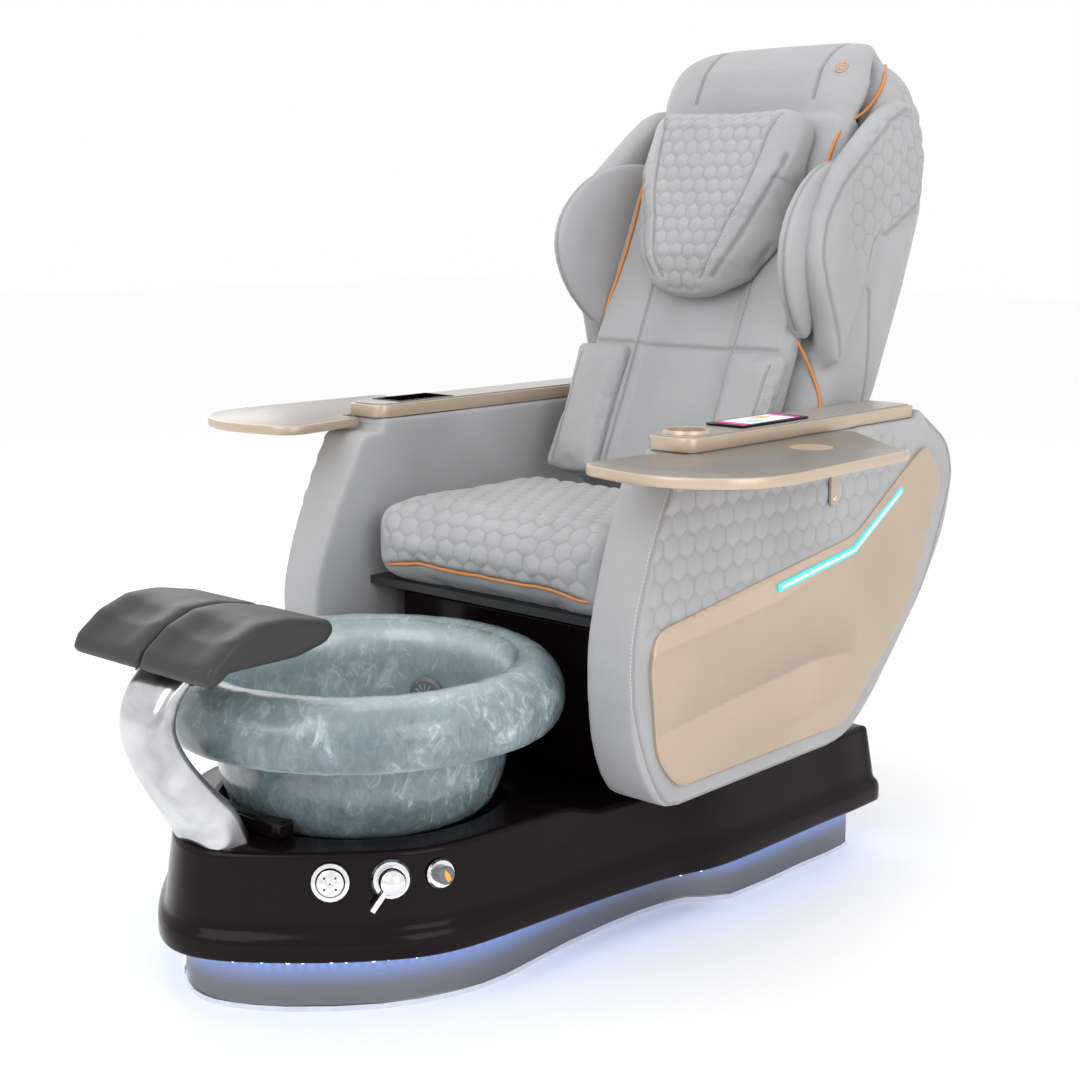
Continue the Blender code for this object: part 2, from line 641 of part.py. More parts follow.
def arm_fittings():
    """Cup holder and touch screen on the left cap, phone pocket in the right one."""
    rim = CAP_TOP + 0.002 + 2 * GAP
    inside = CUP_RADIUS * math.cos(math.pi / CUP_SIDES) - GAP
    turned("cup_holder", [(0.0, rim - 0.062), (inside - 0.0035, rim - 0.062), (inside - 0.003, rim + 0.005),
                          (inside + 0.003, rim + 0.006), (inside + 0.005, rim), (inside, rim - GAP),
                          (inside - 0.0005, rim - 0.066), (0.0, rim - 0.066)], champagne(),
           ((CAP_INNER + CAP_OUTER) / 2, CUP_Y, 0), steps=CUP_SIDES)
    screen = box("touch_screen", (0.315, 0.185, rim), (0.389, 0.375, rim + 0.004), gloss_black())
    bevel(screen, 0.001, 1)
    low, high = (-0.392 + GAP, 0.095 + GAP, CAP_TOP - 0.030 + GAP), (-0.316 - GAP, 0.235 - GAP, CAP_TOP + 0.0035)
    tray = box("phone_pocket", low, high, gloss_black())
    hollow = box("phone_cut", (low[0] + 0.003, low[1] + 0.003, low[2] + 0.003), (high[0] - 0.003, high[1] - 0.003, 0.9),
                 None, cutters)
    boolean(tray, hollow)


def trays():
    """Swing-out trays, each on a pin that stands on a bracket bolted to the arm's side."""
    top = CAP_TOP - CAP_THICK
    low = top - TRAY_THICK
    px, py = TRAY_PIVOT
    hub = px - CAP_OUTER - 0.004
    corner = [(px - hub * math.cos(a), py + hub * math.sin(a))
              for a in (math.radians(d) for d in (0, 18, 36, 54, 72, 86))]
    edge = [(CAP_OUTER + 0.004, CAP_FRONT - 0.006), (0.352, CAP_FRONT - 0.006), (0.330, -0.130), (0.350, -0.160),
            (0.470, -0.188), (0.560, -0.162), (0.622, -0.100), (0.636, -0.030), (0.626, 0.310), (0.600, 0.335)]
    soft = rounded(edge, [0.01, 0.008, 0.02, 0.02, 0.05, 0.04, 0.04, 0.03, 0.03, 0.02], 2)
    tray = plate("tray_left", soft + corner[::-1], TRAY_THICK, champagne())
    tray.location.z = low
    bevel(tray, 0.004, 2, 50)
    pin_cut = cylinder("tray_pin_cut", TRAY_PIN_RADIUS + GAP, 0.024, (px, py, low), (0, 0, 1), None, cutters)
    boolean(tray, pin_cut)
    x, y = DISC_CENTRE
    recess = cylinder("disc_recess", DISC_RADIUS + GAP, 2 * DISC_THICK + 2 * GAP, (x, y, top), (0, 0, 1), None,
                      cutters, 32)
    boolean(tray, recess)
    disc = turned("tray_disc_left", [(0.0, DISC_THICK), (DISC_RADIUS - 0.0015, DISC_THICK),
                                     (DISC_RADIUS - 0.0010, 0.0), (0.0, 0.0)], champagne(),
                  (x, y, top - DISC_THICK - GAP / 2), steps=32)
    shelf = low - RUNNING - 0.004
    bracket = side_plate("tray_bracket_left", rounded([(py - 0.012, 0.670), (py + 0.012, 0.670),
                                                       (py + 0.012, shelf), (py - 0.012, shelf)],
                                                      [0.012, 0.012, 0, 0], 5),
                         ARM_OUTER + GAP, ARM_OUTER + 0.0045, champagne())
    tongue = box("tongue", (ARM_OUTER + GAP, py - 0.018, shelf - 0.003), (px + 0.016, py + 0.018, shelf + 0.004),
                 None, cutters)
    pin = cylinder("tray_pin", TRAY_PIN_RADIUS, 0.014, (px, py, shelf + 0.008), (0, 0, 1), None, cutters, 20)
    boolean(bracket, tongue, "UNION")
    boolean(bracket, pin, "UNION")
    hinge_left = pivot("tray_hinge_left", (px, py, low))
    hinge_right = pivot("tray_hinge_right", (-px, py, low))
    mirror_x(bracket, "tray_bracket_right")
    for piece in (tray, disc):
        hang(mirror_x(piece, piece.name.replace("left", "right")), hinge_right)
        hang(piece, hinge_left)


def seat():
    """Seat frame that runs on the rails, the cushion on it, and the recline motor at its rear."""
    outline = [(-ARM_INNER + GAP, 0.0), (ARM_INNER - GAP, 0.0), (ARM_INNER - GAP, 0.49), (-ARM_INNER + GAP, 0.49)]
    hole = [(-0.15, 0.10), (0.15, 0.10), (0.15, 0.40), (-0.15, 0.40)]
    frame = plate("seat_frame", outline, 0.014, dark_steel(), [hole])
    frame.location.z = 0.499 + RUNNING
    cushion = box("seat_cushion", (-SEAT_HALF, SEAT_FRONT, SEAT_BOTTOM), (SEAT_HALF, SEAT_BACK, SEAT_TOP), leather())
    bevel(cushion, 0.040, 4)
    motor = box("recline_motor", (-0.05, SEAT_BACK + 0.010, 0.516), (0.05, 0.485, 0.560), dark_steel())
    bevel(motor, 0.006, 1)


# ---------------------------------------------------------------- back

def back_ring(half, front, rear, height, sides=28):
    """A rounded-box section of the back shell at one height."""
    middle, deep = (front + rear) / 2, (front - rear) / 2
    out = []
    for k in range(sides):
        a = 2 * math.pi * (k + 0.5) / sides
        c, s = math.cos(a), math.sin(a)
        out.append((half * math.copysign(abs(c) ** 0.45, c), height, middle + deep * math.copysign(abs(s) ** 0.45, s)))
    return out


def back():
    """Everything that reclines, modelled upright in the back's own frame and parented to its hinge."""
    hinge = pivot("backrest_hinge", (0.0, HINGE_Y, HINGE_Z))
    upright = Matrix.Translation(BACK_ORIGIN) @ Matrix.Rotation(math.radians(90) - BACK_LEAN, 4, "X")

    def lean(obj):
        return hang(obj, hinge, upright)

    rings = [(0.220, -0.090, -0.200, 0.010), (0.265, -0.050, -0.235, 0.030), (0.280, PAD_FACE, -0.255, 0.100),
             (0.286, PAD_FACE, -0.280, 0.300), (0.296, PAD_FACE, -0.268, 0.500), (0.300, PAD_FACE, -0.252, 0.650),
             (0.292, PAD_FACE, -0.235, 0.750), (0.270, -0.046, -0.205, 0.830), (0.235, -0.055, -0.180, 0.885),
             (0.165, -0.075, -0.145, 0.925)]
    shell = loft("back_shell", [back_ring(h, f, r, v) for h, f, r, v in rings], leather())
    lean(shell)
    room = box("back_room", (-0.200, 0.060, -0.200), (0.200, 0.800, 0.100), None, cutters)
    boolean(shell, lean(room))

    pad_top, face = 0.755, PAD_FACE + GAP
    pad = box("back_pad", (-0.240, 0.012, face), (0.240, pad_top, face + PAD_THICK), leather())
    bevel(lean(pad), 0.015, 3)
    cover = box("head_cover", (-0.235, pad_top + 0.002, face), (0.235, 0.880, face + PAD_THICK), leather())
    bevel(lean(cover), 0.020, 3)

    front = face + PAD_THICK + GAP
    outline = [(-0.045, 0.368), (0.045, 0.368), (0.115, 0.440), (0.172, 0.590), (0.150, 0.740), (-0.150, 0.740),
               (-0.172, 0.590), (-0.115, 0.440)]
    pillow = plate("head_pillow", rounded(outline, 0.035, 3), 0.085, leather())
    pillow.location.z = front
    bevel(lean(pillow), 0.028, 3, 50)

    for name, sign in (("left", 1), ("right", -1)):
        low, high = sorted((sign * 0.120, sign * 0.244))
        lumbar = box("lumbar_pad_" + name, (low, 0.014, front), (high, 0.275, front + 0.030), leather())
        bevel(lean(lumbar), 0.012, 3)
        wing = [(0.300, face), (0.320, 0.010), (0.372, 0.108), (0.415, 0.150), (0.520, 0.138), (0.636, 0.075),
                (0.790, -0.010), (0.800, face)]
        low, high = sorted((sign * 0.250, sign * 0.296))
        leaf = side_plate("shoulder_wing_" + name, rounded(wing, [0.0, 0.02, 0.03, 0.04, 0.05, 0.06, 0.02, 0.0], 2),
                          low, high, leather())
        bevel(lean(leaf), 0.012, 3, 50)

    frame = plate("back_frame", [(-0.195, 0.065), (0.195, 0.065), (0.195, 0.795), (-0.195, 0.795)], 0.012,
                  dark_steel(), [[(-0.165, 0.100), (0.165, 0.100), (0.165, 0.760), (-0.165, 0.760)]])
    frame.location.z = -0.180
    lean(frame)
    carriage = box("massage_carriage", (-0.150, 0.300, -0.164), (0.150, 0.390, -0.100), plastic())
    bevel(lean(carriage), 0.006, 1)
    for name, x in (("left", 0.055), ("right", -0.055)):
        roller = cylinder("massage_roller_" + name, 0.022, 0.030, (x, 0.345, -0.0777), (1, 0, 0), rubber())
        bevel(lean(roller), 0.004, 1)


def main():
    clear_scene()
    plinth()
    base_shell()
    basin()
    machinery()
    pedestal()
    fittings()
    footrest()
    seat()
    arms()
    arm_fittings()
    trays()
    back()


main()
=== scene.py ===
import json
import math

import bmesh
import bpy
import numpy as np
from mathutils import Matrix, Vector
from mathutils.geometry import delaunay_2d_cdt
from mathutils.noise import noise


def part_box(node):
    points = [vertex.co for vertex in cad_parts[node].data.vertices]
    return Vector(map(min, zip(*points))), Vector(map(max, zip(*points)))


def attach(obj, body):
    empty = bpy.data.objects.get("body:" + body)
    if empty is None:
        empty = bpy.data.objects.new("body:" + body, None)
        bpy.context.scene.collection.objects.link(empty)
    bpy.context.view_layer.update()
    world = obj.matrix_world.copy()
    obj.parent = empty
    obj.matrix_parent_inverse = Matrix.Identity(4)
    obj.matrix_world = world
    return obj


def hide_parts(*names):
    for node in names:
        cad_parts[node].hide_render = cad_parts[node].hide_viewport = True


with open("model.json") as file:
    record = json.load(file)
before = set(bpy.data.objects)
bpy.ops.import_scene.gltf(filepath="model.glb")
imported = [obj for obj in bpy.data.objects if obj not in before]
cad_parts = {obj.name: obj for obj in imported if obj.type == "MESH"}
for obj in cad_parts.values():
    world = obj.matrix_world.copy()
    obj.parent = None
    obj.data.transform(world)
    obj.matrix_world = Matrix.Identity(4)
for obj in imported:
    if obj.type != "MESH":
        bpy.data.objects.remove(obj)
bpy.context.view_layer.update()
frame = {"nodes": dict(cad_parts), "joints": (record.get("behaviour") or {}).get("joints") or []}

scene = bpy.context.scene

# ---------------------------------------------------------------- Studio
# A pale floor and a white room, lit by large soft panels: a key from the chair's front
# left, a fill from the right and a top light for the polished and lacquered pieces.

scene.view_settings.view_transform = "Standard"
SIDES = (("left", 1), ("right", -1))  # each side's name and the sign of its x
ROOM_WHITE = (1.0, 1.0, 1.0)
FLOOR_WHITE = (0.98, 0.98, 0.98)

world = bpy.data.worlds.new("studio_room")
world.use_nodes = True
world.node_tree.nodes["Background"].inputs["Color"].default_value = (*ROOM_WHITE, 1)
world.node_tree.nodes["Background"].inputs["Strength"].default_value = 1.0
scene.world = world


def shader_material(name, colour, roughness, metallic=0.0):
    """A node material, with its tree and its Principled shader."""
    made = bpy.data.materials.new(name)
    made.use_nodes = True
    shader = made.node_tree.nodes["Principled BSDF"]
    shader.inputs["Base Color"].default_value = (*colour, 1)
    shader.inputs["Roughness"].default_value = roughness
    shader.inputs["Metallic"].default_value = metallic
    return made, made.node_tree, shader


def shader_node(tree, kind, settings=None, **values):
    """Add a shader or geometry node; settings are its properties, values its input sockets or links."""
    added = tree.nodes.new(kind)
    for key, value in (settings or {}).items():
        setattr(added, key, value)
    for key, value in values.items():
        socket = added.inputs[int(key[1:]) if key[1:].isdigit() else key.replace("_", " ")]
        if isinstance(value, bpy.types.NodeSocket):
            tree.links.new(value, socket)
        else:
            socket.default_value = value
    return added


def lit_material(name, colour, roughness, glow, strength):
    """A material that gives off light of its own."""
    made, _, shader = shader_material(name, colour, roughness)
    shader.inputs["Emission Color"].default_value = (*glow, 1)
    shader.inputs["Emission Strength"].default_value = strength
    return made


def noise_on(tree, scale, detail, **values):
    """A cloud of noise over the object's own coordinates."""
    place = shader_node(tree, "ShaderNodeTexCoord")
    return shader_node(tree, "ShaderNodeTexNoise", Vector=place.outputs["Object"], Scale=scale, Detail=detail, **values)


def cells_on(tree, scale):
    """Small rounded cells over the object's own coordinates."""
    place = shader_node(tree, "ShaderNodeTexCoord")
    return shader_node(tree, "ShaderNodeTexVoronoi", Vector=place.outputs["Object"], Scale=scale)


def shaded(colour, share):
    """A colour made darker or brighter."""
    return [min(1, c * share) for c in colour]


def toned(tree, shader, value, dark, light, start=0.0, end=1.0):
    """Run the base colour from dark to light by a value."""
    tone = shader_node(tree, "ShaderNodeValToRGB", Fac=value)
    for element, at, colour in zip(tone.color_ramp.elements, (start, end), (dark, light)):
        element.position = at
        element.color = (*colour, 1)
    tree.links.new(tone.outputs[0], shader.inputs["Base Color"])
    return tone


def roughened(tree, shader, value, low, high):
    """Run the roughness from low to high by a value."""
    rough = shader_node(tree, "ShaderNodeMapRange", Value=value, i3=low, i4=high)
    tree.links.new(rough.outputs[0], shader.inputs["Roughness"])


def bumped(tree, shader, strength, depth, height):
    """Raise the surface by a height."""
    bump = shader_node(tree, "ShaderNodeBump", Strength=strength, Distance=depth, Height=height)
    tree.links.new(bump.outputs[0], shader.inputs["Normal"])


floor_paint, _, _ = shader_material("studio_floor_paint", FLOOR_WHITE, 0.6)
bpy.ops.mesh.primitive_plane_add(size=40)
studio_floor = bpy.context.object
studio_floor.name = "studio_floor"
studio_floor.location.z = -0.0005
studio_floor.data.materials.append(floor_paint)

LIGHT_PANELS = (("key_panel", (0.2, -3.6, 3.0), 2.6, 52), ("fill_panel", (3.8, -0.8, 2.0), 2.4, 40),
                ("top_panel", (-0.6, 0.6, 3.8), 2.4, 16), ("edge_panel", (-3.4, 1.2, 2.2), 1.8, 16))
LIGHTS_AIM = (0, -0.1, 0.6)
for light_name, place, size, power in LIGHT_PANELS:
    panel = bpy.data.lights.new(light_name, "AREA")
    panel.size = size
    panel.energy = power
    stand = bpy.data.objects.new(light_name, panel)
    stand.location = place
    stand.rotation_euler = (Vector(LIGHTS_AIM) - Vector(place)).to_track_quat("-Z", "Y").to_euler()
    scene.collection.objects.link(stand)

CAMERA_LENS = 58.8
CAMERA_PLACE = (2.0404, -2.1292, 1.1697)
CAMERA_DOWN = 10.62  # degrees
CAMERA_ROUND = 42.1  # degrees
camera = bpy.data.objects.new("studio_camera", bpy.data.cameras.new("studio_camera"))
camera.data.lens = CAMERA_LENS
camera.location = CAMERA_PLACE
camera.rotation_euler = (math.radians(90 - CAMERA_DOWN), 0, math.radians(CAMERA_ROUND))
scene.collection.objects.link(camera)
scene.camera = camera

# ---------------------------------------------------------------- Plinth
# The plinth is a brushed stainless skirt on a thin polished trim, folded round the base and
# screwed to a steel floor pan. A ribbon of blue diodes hangs under the base's lip above it.

STEEL_GREY = (0.20, 0.20, 0.205)
GLOW_BLUE = (0.10, 0.26, 0.85)


def piece_of(name, points, faces, material, smooth=40):
    """A mesh object from points and faces, facing outwards, smooth below the given angle."""
    mesh = bpy.data.meshes.new(name)
    mesh.from_pydata([tuple(p) for p in points], [], [tuple(f) for f in faces])
    body = bmesh.new()
    body.from_mesh(mesh)
    bmesh.ops.recalc_face_normals(body, faces=body.faces)
    if body.calc_volume(signed=True) < 0:
        bmesh.ops.reverse_faces(body, faces=body.faces)
    body.to_mesh(mesh)
    body.free()
    mesh.shade_smooth()
    if smooth < 180:
        mesh.set_sharp_from_angle(angle=math.radians(smooth))
    made = bpy.data.objects.new(name, mesh)
    if material:
        mesh.materials.append(material)
    scene.collection.objects.link(made)
    return made


def merged_copy(node, name, material, smooth=40):
    """A copy of a frame node with its loose triangles merged and its flat faces joined."""
    source = frame["nodes"][node].data
    mesh = bpy.data.meshes.new(name)
    mesh.from_pydata([tuple(v.co) for v in source.vertices], [], [tuple(p.vertices) for p in source.polygons])
    body = bmesh.new()
    body.from_mesh(mesh)
    bmesh.ops.remove_doubles(body, verts=body.verts, dist=1e-5)
    bmesh.ops.dissolve_limit(body, angle_limit=math.radians(0.5), verts=body.verts, edges=body.edges)
    body.to_mesh(mesh)
    body.free()
    mesh.shade_smooth()
    mesh.set_sharp_from_angle(angle=math.radians(smooth))
    mesh.materials.append(material)
    made = bpy.data.objects.new(name, mesh)
    scene.collection.objects.link(made)
    return made


def fit_on(piece, body, slot=None, *nodes):
    """Say which body a finished piece rides on and hide the frame nodes it stands for; slot is not used."""
    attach(piece, body)
    if nodes:
        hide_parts(*nodes)
    return piece


def clad(node, name, material, body, slot, smooth=40):
    """A frame node's own shape, cleaned and dressed in a finer material."""
    return fit_on(merged_copy(node, name, material, smooth), body, slot, node)


def round_off(piece, width, segments=2, angle=40):
    """Round a piece's edges for good."""
    rounding = piece.modifiers.new("rounded_edges", "BEVEL")
    rounding.width = width
    rounding.segments = segments
    rounding.limit_method = "ANGLE"
    rounding.angle_limit = math.radians(angle)
    rounding.harden_normals = True
    return set_shape(piece)


def set_shape(piece):
    """Apply a piece's modifiers."""
    graph = bpy.context.evaluated_depsgraph_get()
    shaped = bpy.data.meshes.new_from_object(piece.evaluated_get(graph))
    piece.modifiers.clear()
    piece.data = shaped
    return piece


def brushed_metal(name, colour, roughness, stretch, depth, glow=None):
    """Bare metal with fine brushing; stretch is the Mapping scale that draws the grain out. With glow, painted light:
    the diodes' blue glow is painted on as emission.
    """
    made, tree, shader = shader_material(name, colour, roughness, 1.0)
    place = shader_node(tree, "ShaderNodeTexCoord")
    drawn = shader_node(tree, "ShaderNodeMapping", Vector=place.outputs["Object"], Scale=stretch)
    grain = shader_node(tree, "ShaderNodeTexNoise", Vector=drawn.outputs[0], Scale=1.0, Detail=4.0, Roughness=0.7)
    roughened(tree, shader, grain.outputs["Fac"], roughness - 0.08, roughness + 0.12)
    toned(tree, shader, grain.outputs["Fac"], shaded(colour, 0.82), shaded(colour, 1.15))
    bumped(tree, shader, 0.25, depth, grain.outputs["Fac"])
    # Painted light: the blue glow of the diodes above, painted on as emission that grows towards the top and scallops
    # between the diodes.
    if glow:
        height = shader_node(tree, "ShaderNodeSeparateXYZ", Vector=place.outputs["Object"])
        fade = shader_node(tree, "ShaderNodeMapRange", {"interpolation_type": "SMOOTHSTEP"}, Value=height.outputs["Z"],
                           i1=0.030, i2=0.086, i3=0.0, i4=glow)
        wide = shader_node(tree, "ShaderNodeMath", {"operation": "ABSOLUTE"}, i0=height.outputs["X"])
        round_skirt = shader_node(tree, "ShaderNodeMath", {"operation": "ADD"}, i0=wide.outputs[0],
                                  i1=height.outputs["Y"])
        turns = shader_node(tree, "ShaderNodeMath", {"operation": "MULTIPLY"}, i0=round_skirt.outputs[0], i1=270.0)
        wave = shader_node(tree, "ShaderNodeMath", {"operation": "SINE"}, i0=turns.outputs[0])
        near = shader_node(tree, "ShaderNodeMapRange", Value=height.outputs["Z"], i1=0.060, i2=0.088, i3=0.0, i4=0.45)
        painted_scallops = shader_node(tree, "ShaderNodeMath", {"operation": "MULTIPLY_ADD"}, i0=wave.outputs[0],
                            i1=near.outputs[0], i2=1.0)
        fade = shader_node(tree, "ShaderNodeMath", {"operation": "MULTIPLY"}, i0=fade.outputs[0], i1=painted_scallops.outputs[0])
        shader.inputs["Emission Color"].default_value = (*GLOW_BLUE, 1)
        tree.links.new(fade.outputs[0], shader.inputs["Emission Strength"])
    return made


# The skirt gets the diodes' blue light painted on as emission; the skirt itself is no lamp.
skirt_steel_painted_glow = brushed_metal("brushed_skirt_steel_painted_glow", STEEL_GREY, 0.34, (4, 4, 900), 0.0002, glow=0.75)
polished_chrome = brushed_metal("polished_chrome", (0.80, 0.80, 0.82), 0.10, (60, 60, 60), 0.00005)
clad("plinth_skirt", "plinth_skirt_brushed_painted_glow", skirt_steel_painted_glow, "base", "brushed_steel", 50)
clad("plinth_trim", "plinth_trim_polished", polished_chrome, "base", "chrome", 50)

strip_low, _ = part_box("plinth_light_strip")
light_ribbon = lit_material("blue_light_ribbon", (0.25, 0.45, 1.0), 0.4, GLOW_BLUE, 1.6)
clad("plinth_light_strip", "light_ribbon", light_ribbon, "base", "blue_light")


def ring_at(node, height, samples, middle=(0.0, 0.0), reach=1e-4):
    """A node's outer outline at a height, evenly resampled as a smooth closed curve."""
    points = np.array([v.co for v in frame["nodes"][node].data.vertices])
    level = np.unique(np.round(points[np.abs(points[:, 2] - height) < reach][:, :2], 5), axis=0)
    away = level - np.array(middle)
    level = level[np.argsort(np.arctan2(away[:, 1], away[:, 0]))]
    count = len(level)
    curve = []
    for i in range(count):
        a, b, c, d = (level[(i + k) % count] for k in (-1, 0, 1, 2))
        for t in np.linspace(0, 1, 12, endpoint=False):
            curve.append(0.5 * (2 * b + (c - a) * t + (2 * a - 5 * b + 4 * c - d) * t * t
                                + (3 * b - a - 3 * c + d) * t ** 3))
    curve = np.array(curve)
    steps = np.linalg.norm(np.diff(np.vstack([curve, curve[:1]]), axis=0), axis=1)
    along = np.concatenate([[0], np.cumsum(steps)])
    wanted = np.linspace(0, along[-1], samples, endpoint=False)
    closed = np.vstack([curve, curve[:1]])
    return np.column_stack([np.interp(wanted, along, closed[:, k]) for k in (0, 1)])


# Diodes: small domed lenses in a row on the ribbon's underside, one every 22 mm.
DIODE_PITCH = 0.022
DIODE_RADIUS = 0.0035


def tree_with_inputs(name, inputs):
    """A geometry node tree with a geometry input and output and the named inputs."""
    tree = bpy.data.node_groups.new(name, "GeometryNodeTree")
    tree.interface.new_socket("Geometry", in_out="INPUT", socket_type="NodeSocketGeometry")
    tree.interface.new_socket("Geometry", in_out="OUTPUT", socket_type="NodeSocketGeometry")
    for label, kind in inputs.items():
        tree.interface.new_socket(label, in_out="INPUT", socket_type=kind)
    return tree, tree.nodes.new("NodeGroupInput"), tree.nodes.new("NodeGroupOutput")


def grown_mesh(name, points, closed, tree, values, material):
    """Run a node tree along a line of points and keep the plain mesh that it makes."""
    line = bpy.data.meshes.new(name + "_line")
    count = len(points)
    edges = [(i, (i + 1) % count) for i in range(count if closed else count - 1)]
    line.from_pydata([tuple(p) for p in points], edges, [])
    line.materials.append(material)
    guide = bpy.data.objects.new(name + "_guide", line)
    scene.collection.objects.link(guide)
    maker = guide.modifiers.new("maker", "NODES")
    maker.node_group = tree
    for item in tree.interface.items_tree:
        if item.in_out == "INPUT" and item.name in values:
            maker[item.identifier] = values[item.name]
    graph = bpy.context.evaluated_depsgraph_get()
    mesh = bpy.data.meshes.new_from_object(guide.evaluated_get(graph))
    bpy.data.objects.remove(guide)
    made = bpy.data.objects.new(name, mesh)
    mesh.name = name
    scene.collection.objects.link(made)
    return made


diode_tree, diode_in, diode_out = tree_with_inputs("diode_row", {
    "Pitch": "NodeSocketFloat", "Radius": "NodeSocketFloat", "Lens": "NodeSocketMaterial"})
diode_line = shader_node(diode_tree, "GeometryNodeMeshToCurve", Mesh=diode_in.outputs["Geometry"])
diode_spots = shader_node(diode_tree, "GeometryNodeResampleCurve", {"mode": "LENGTH"}, Curve=diode_line.outputs[0],
                  Length=diode_in.outputs["Pitch"])
diode_lens = shader_node(diode_tree, "GeometryNodeMeshIcoSphere", Radius=diode_in.outputs["Radius"], Subdivisions=2)
diode_set = shader_node(diode_tree, "GeometryNodeInstanceOnPoints", Points=diode_spots.outputs[0],
                Instance=diode_lens.outputs[0])
diode_real = shader_node(diode_tree, "GeometryNodeRealizeInstances", Geometry=diode_set.outputs[0])
diode_made = shader_node(diode_tree, "GeometryNodeSetMaterial", Geometry=diode_real.outputs[0],
                 Material=diode_in.outputs["Lens"])
diode_tree.links.new(diode_made.outputs[0], diode_out.inputs[0])

diode_lens_glow = lit_material("blue_diode_lens", (0.6, 0.75, 1.0), 0.2, (0.35, 0.55, 1.0), 14.0)
ribbon_line = [(x, y, strip_low.z - 0.001) for x, y in ring_at("plinth_light_strip", strip_low.z, 300)]
diodes = grown_mesh("ribbon_diodes", ribbon_line, True, diode_tree,
                    {"Pitch": DIODE_PITCH, "Radius": DIODE_RADIUS, "Lens": diode_lens_glow}, diode_lens_glow)
fit_on(diodes, "base", "blue_light")

# ---------------------------------------------------------------- Base shell
# The base is one vacuum-formed acrylic shell in a near-black brown: a rounded lip, a wall that
# leans in to a soft-edged deck, and a raised front round the well that the basin stands in.

BASE_COLUMNS = 280
LIP_WIDEST_Z = 0.120
WALL_LEAN = 0.026
FRONT_RISE = (-0.150, -0.070)
base_low, base_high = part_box("base_shell")
well_centre = Vector((0.0, (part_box("basin")[0].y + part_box("basin")[1].y) / 2))
DECK_TOP = 0.230
WELL_RADIUS = 0.2325


def inset_ring(ring, distance):
    """Move each point of a closed outline inwards along its normal."""
    ahead = np.roll(ring, -2, axis=0) - np.roll(ring, 2, axis=0)
    normal = np.column_stack([-ahead[:, 1], ahead[:, 0]])
    normal /= np.linalg.norm(normal, axis=1)[:, None]
    return ring + normal * distance


def stacked(rings, cap_low=True, cap_high=True):
    """Points and faces of closed rings of equal count, stacked bottom to top, with fans as caps."""
    count = len(rings[0])
    points = [p for ring in rings for p in ring]
    faces = []
    for r in range(len(rings) - 1):
        for i in range(count):
            j = (i + 1) % count
            a, b = r * count, (r + 1) * count
            faces.append((a + i, a + j, b + j, b + i))
    for wanted, start, turn in ((cap_low, 0, -1), (cap_high, (len(rings) - 1) * count, 1)):
        if wanted:
            points.append(np.mean(np.array(points[start:start + count]), axis=0))
            top = len(points) - 1
            for i in range(count):
                pair = (start + i, start + (i + 1) % count)
                faces.append((top, *pair[::turn]))
    return points, faces


lip_ring = ring_at("base_shell", LIP_WIDEST_Z, BASE_COLUMNS, well_centre)


def deck_height(y):
    """The deck's height: level at the rear, rising to the front."""
    t = np.clip((y - FRONT_RISE[1]) / (FRONT_RISE[0] - FRONT_RISE[1]), 0, 1)
    return DECK_TOP + (base_high.z - DECK_TOP) * t * t * (3 - 2 * t)


shell_rings = []
lip_profile = [(0.012, base_low.z), (0.004, base_low.z), (0.0012, base_low.z + 0.001), (0.0, base_low.z + 0.004),
               (0.0, 0.112), (0.0008, 0.118), (0.003, 0.124), (0.0065, 0.1285), (0.010, 0.132), (0.0125, 0.138)]
for inward, z in lip_profile:
    flat = inset_ring(lip_ring, inward)
    shell_rings.append(np.column_stack([flat, np.full(len(flat), z)]))
for step in range(1, 9):
    rise = step / 8
    flat = inset_ring(lip_ring, 0.0130 + (WALL_LEAN - 0.0130) * rise)
    top = deck_height(flat[:, 1]) - 0.010
    shell_rings.append(np.column_stack([flat, 0.142 + (top - 0.142) * rise]))
for turn in (15, 30, 45, 60, 75, 90):
    a = math.radians(turn)
    flat = inset_ring(lip_ring, WALL_LEAN + 0.010 * (1 - math.cos(a)))
    shell_rings.append(np.column_stack([flat, deck_height(flat[:, 1]) - 0.010 * (1 - math.sin(a))]))
away = shell_rings[-1][:, :2] - np.array(well_centre)
direction = away / np.linalg.norm(away, axis=1)[:, None]
edge_reach = np.linalg.norm(away, axis=1)
for share, drop in ((0.25, 0), (0.5, 0), (0.75, 0), (0.93, 0), (0.985, 0.001), (1.0, 0.005)):
    reach = edge_reach + (WELL_RADIUS - edge_reach) * share
    flat = np.array(well_centre) + direction * reach[:, None]
    shell_rings.append(np.column_stack([flat, deck_height(flat[:, 1]) - drop]))
flat = np.array(well_centre) + direction * (WELL_RADIUS - 0.001)
shell_rings.append(np.column_stack([flat, np.full(len(flat), DECK_TOP - 0.001)]))


def lacquer(name, colour, dust):
    """High-gloss moulded acrylic: a clear coat, faint orange peel and a little dust."""
    made, tree, shader = shader_material(name, colour, 0.16)
    shader.inputs["Coat Weight"].default_value = 0.05
    shader.inputs["Coat Roughness"].default_value = 0.04
    shader.inputs["Specular IOR Level"].default_value = 0.10
    cloud = noise_on(tree, 7.0, 6.0)
    roughened(tree, shader, cloud.outputs["Fac"], 0.10, 0.10 + dust)
    toned(tree, shader, cloud.outputs["Fac"], shaded(colour, 0.8), shaded(colour, 1.6))
    peel = noise_on(tree, 160.0, 2.0)
    bumped(tree, shader, 0.06, 0.0004, peel.outputs["Fac"])
    return made


gloss_black = lacquer("gloss_brown_black", (0.0060, 0.0028, 0.0040), 0.14)
shell_piece = piece_of("base_shell_moulded", *stacked(shell_rings), gloss_black, 50)
fit_on(shell_piece, "base", "gloss_black_shell", "base_shell")

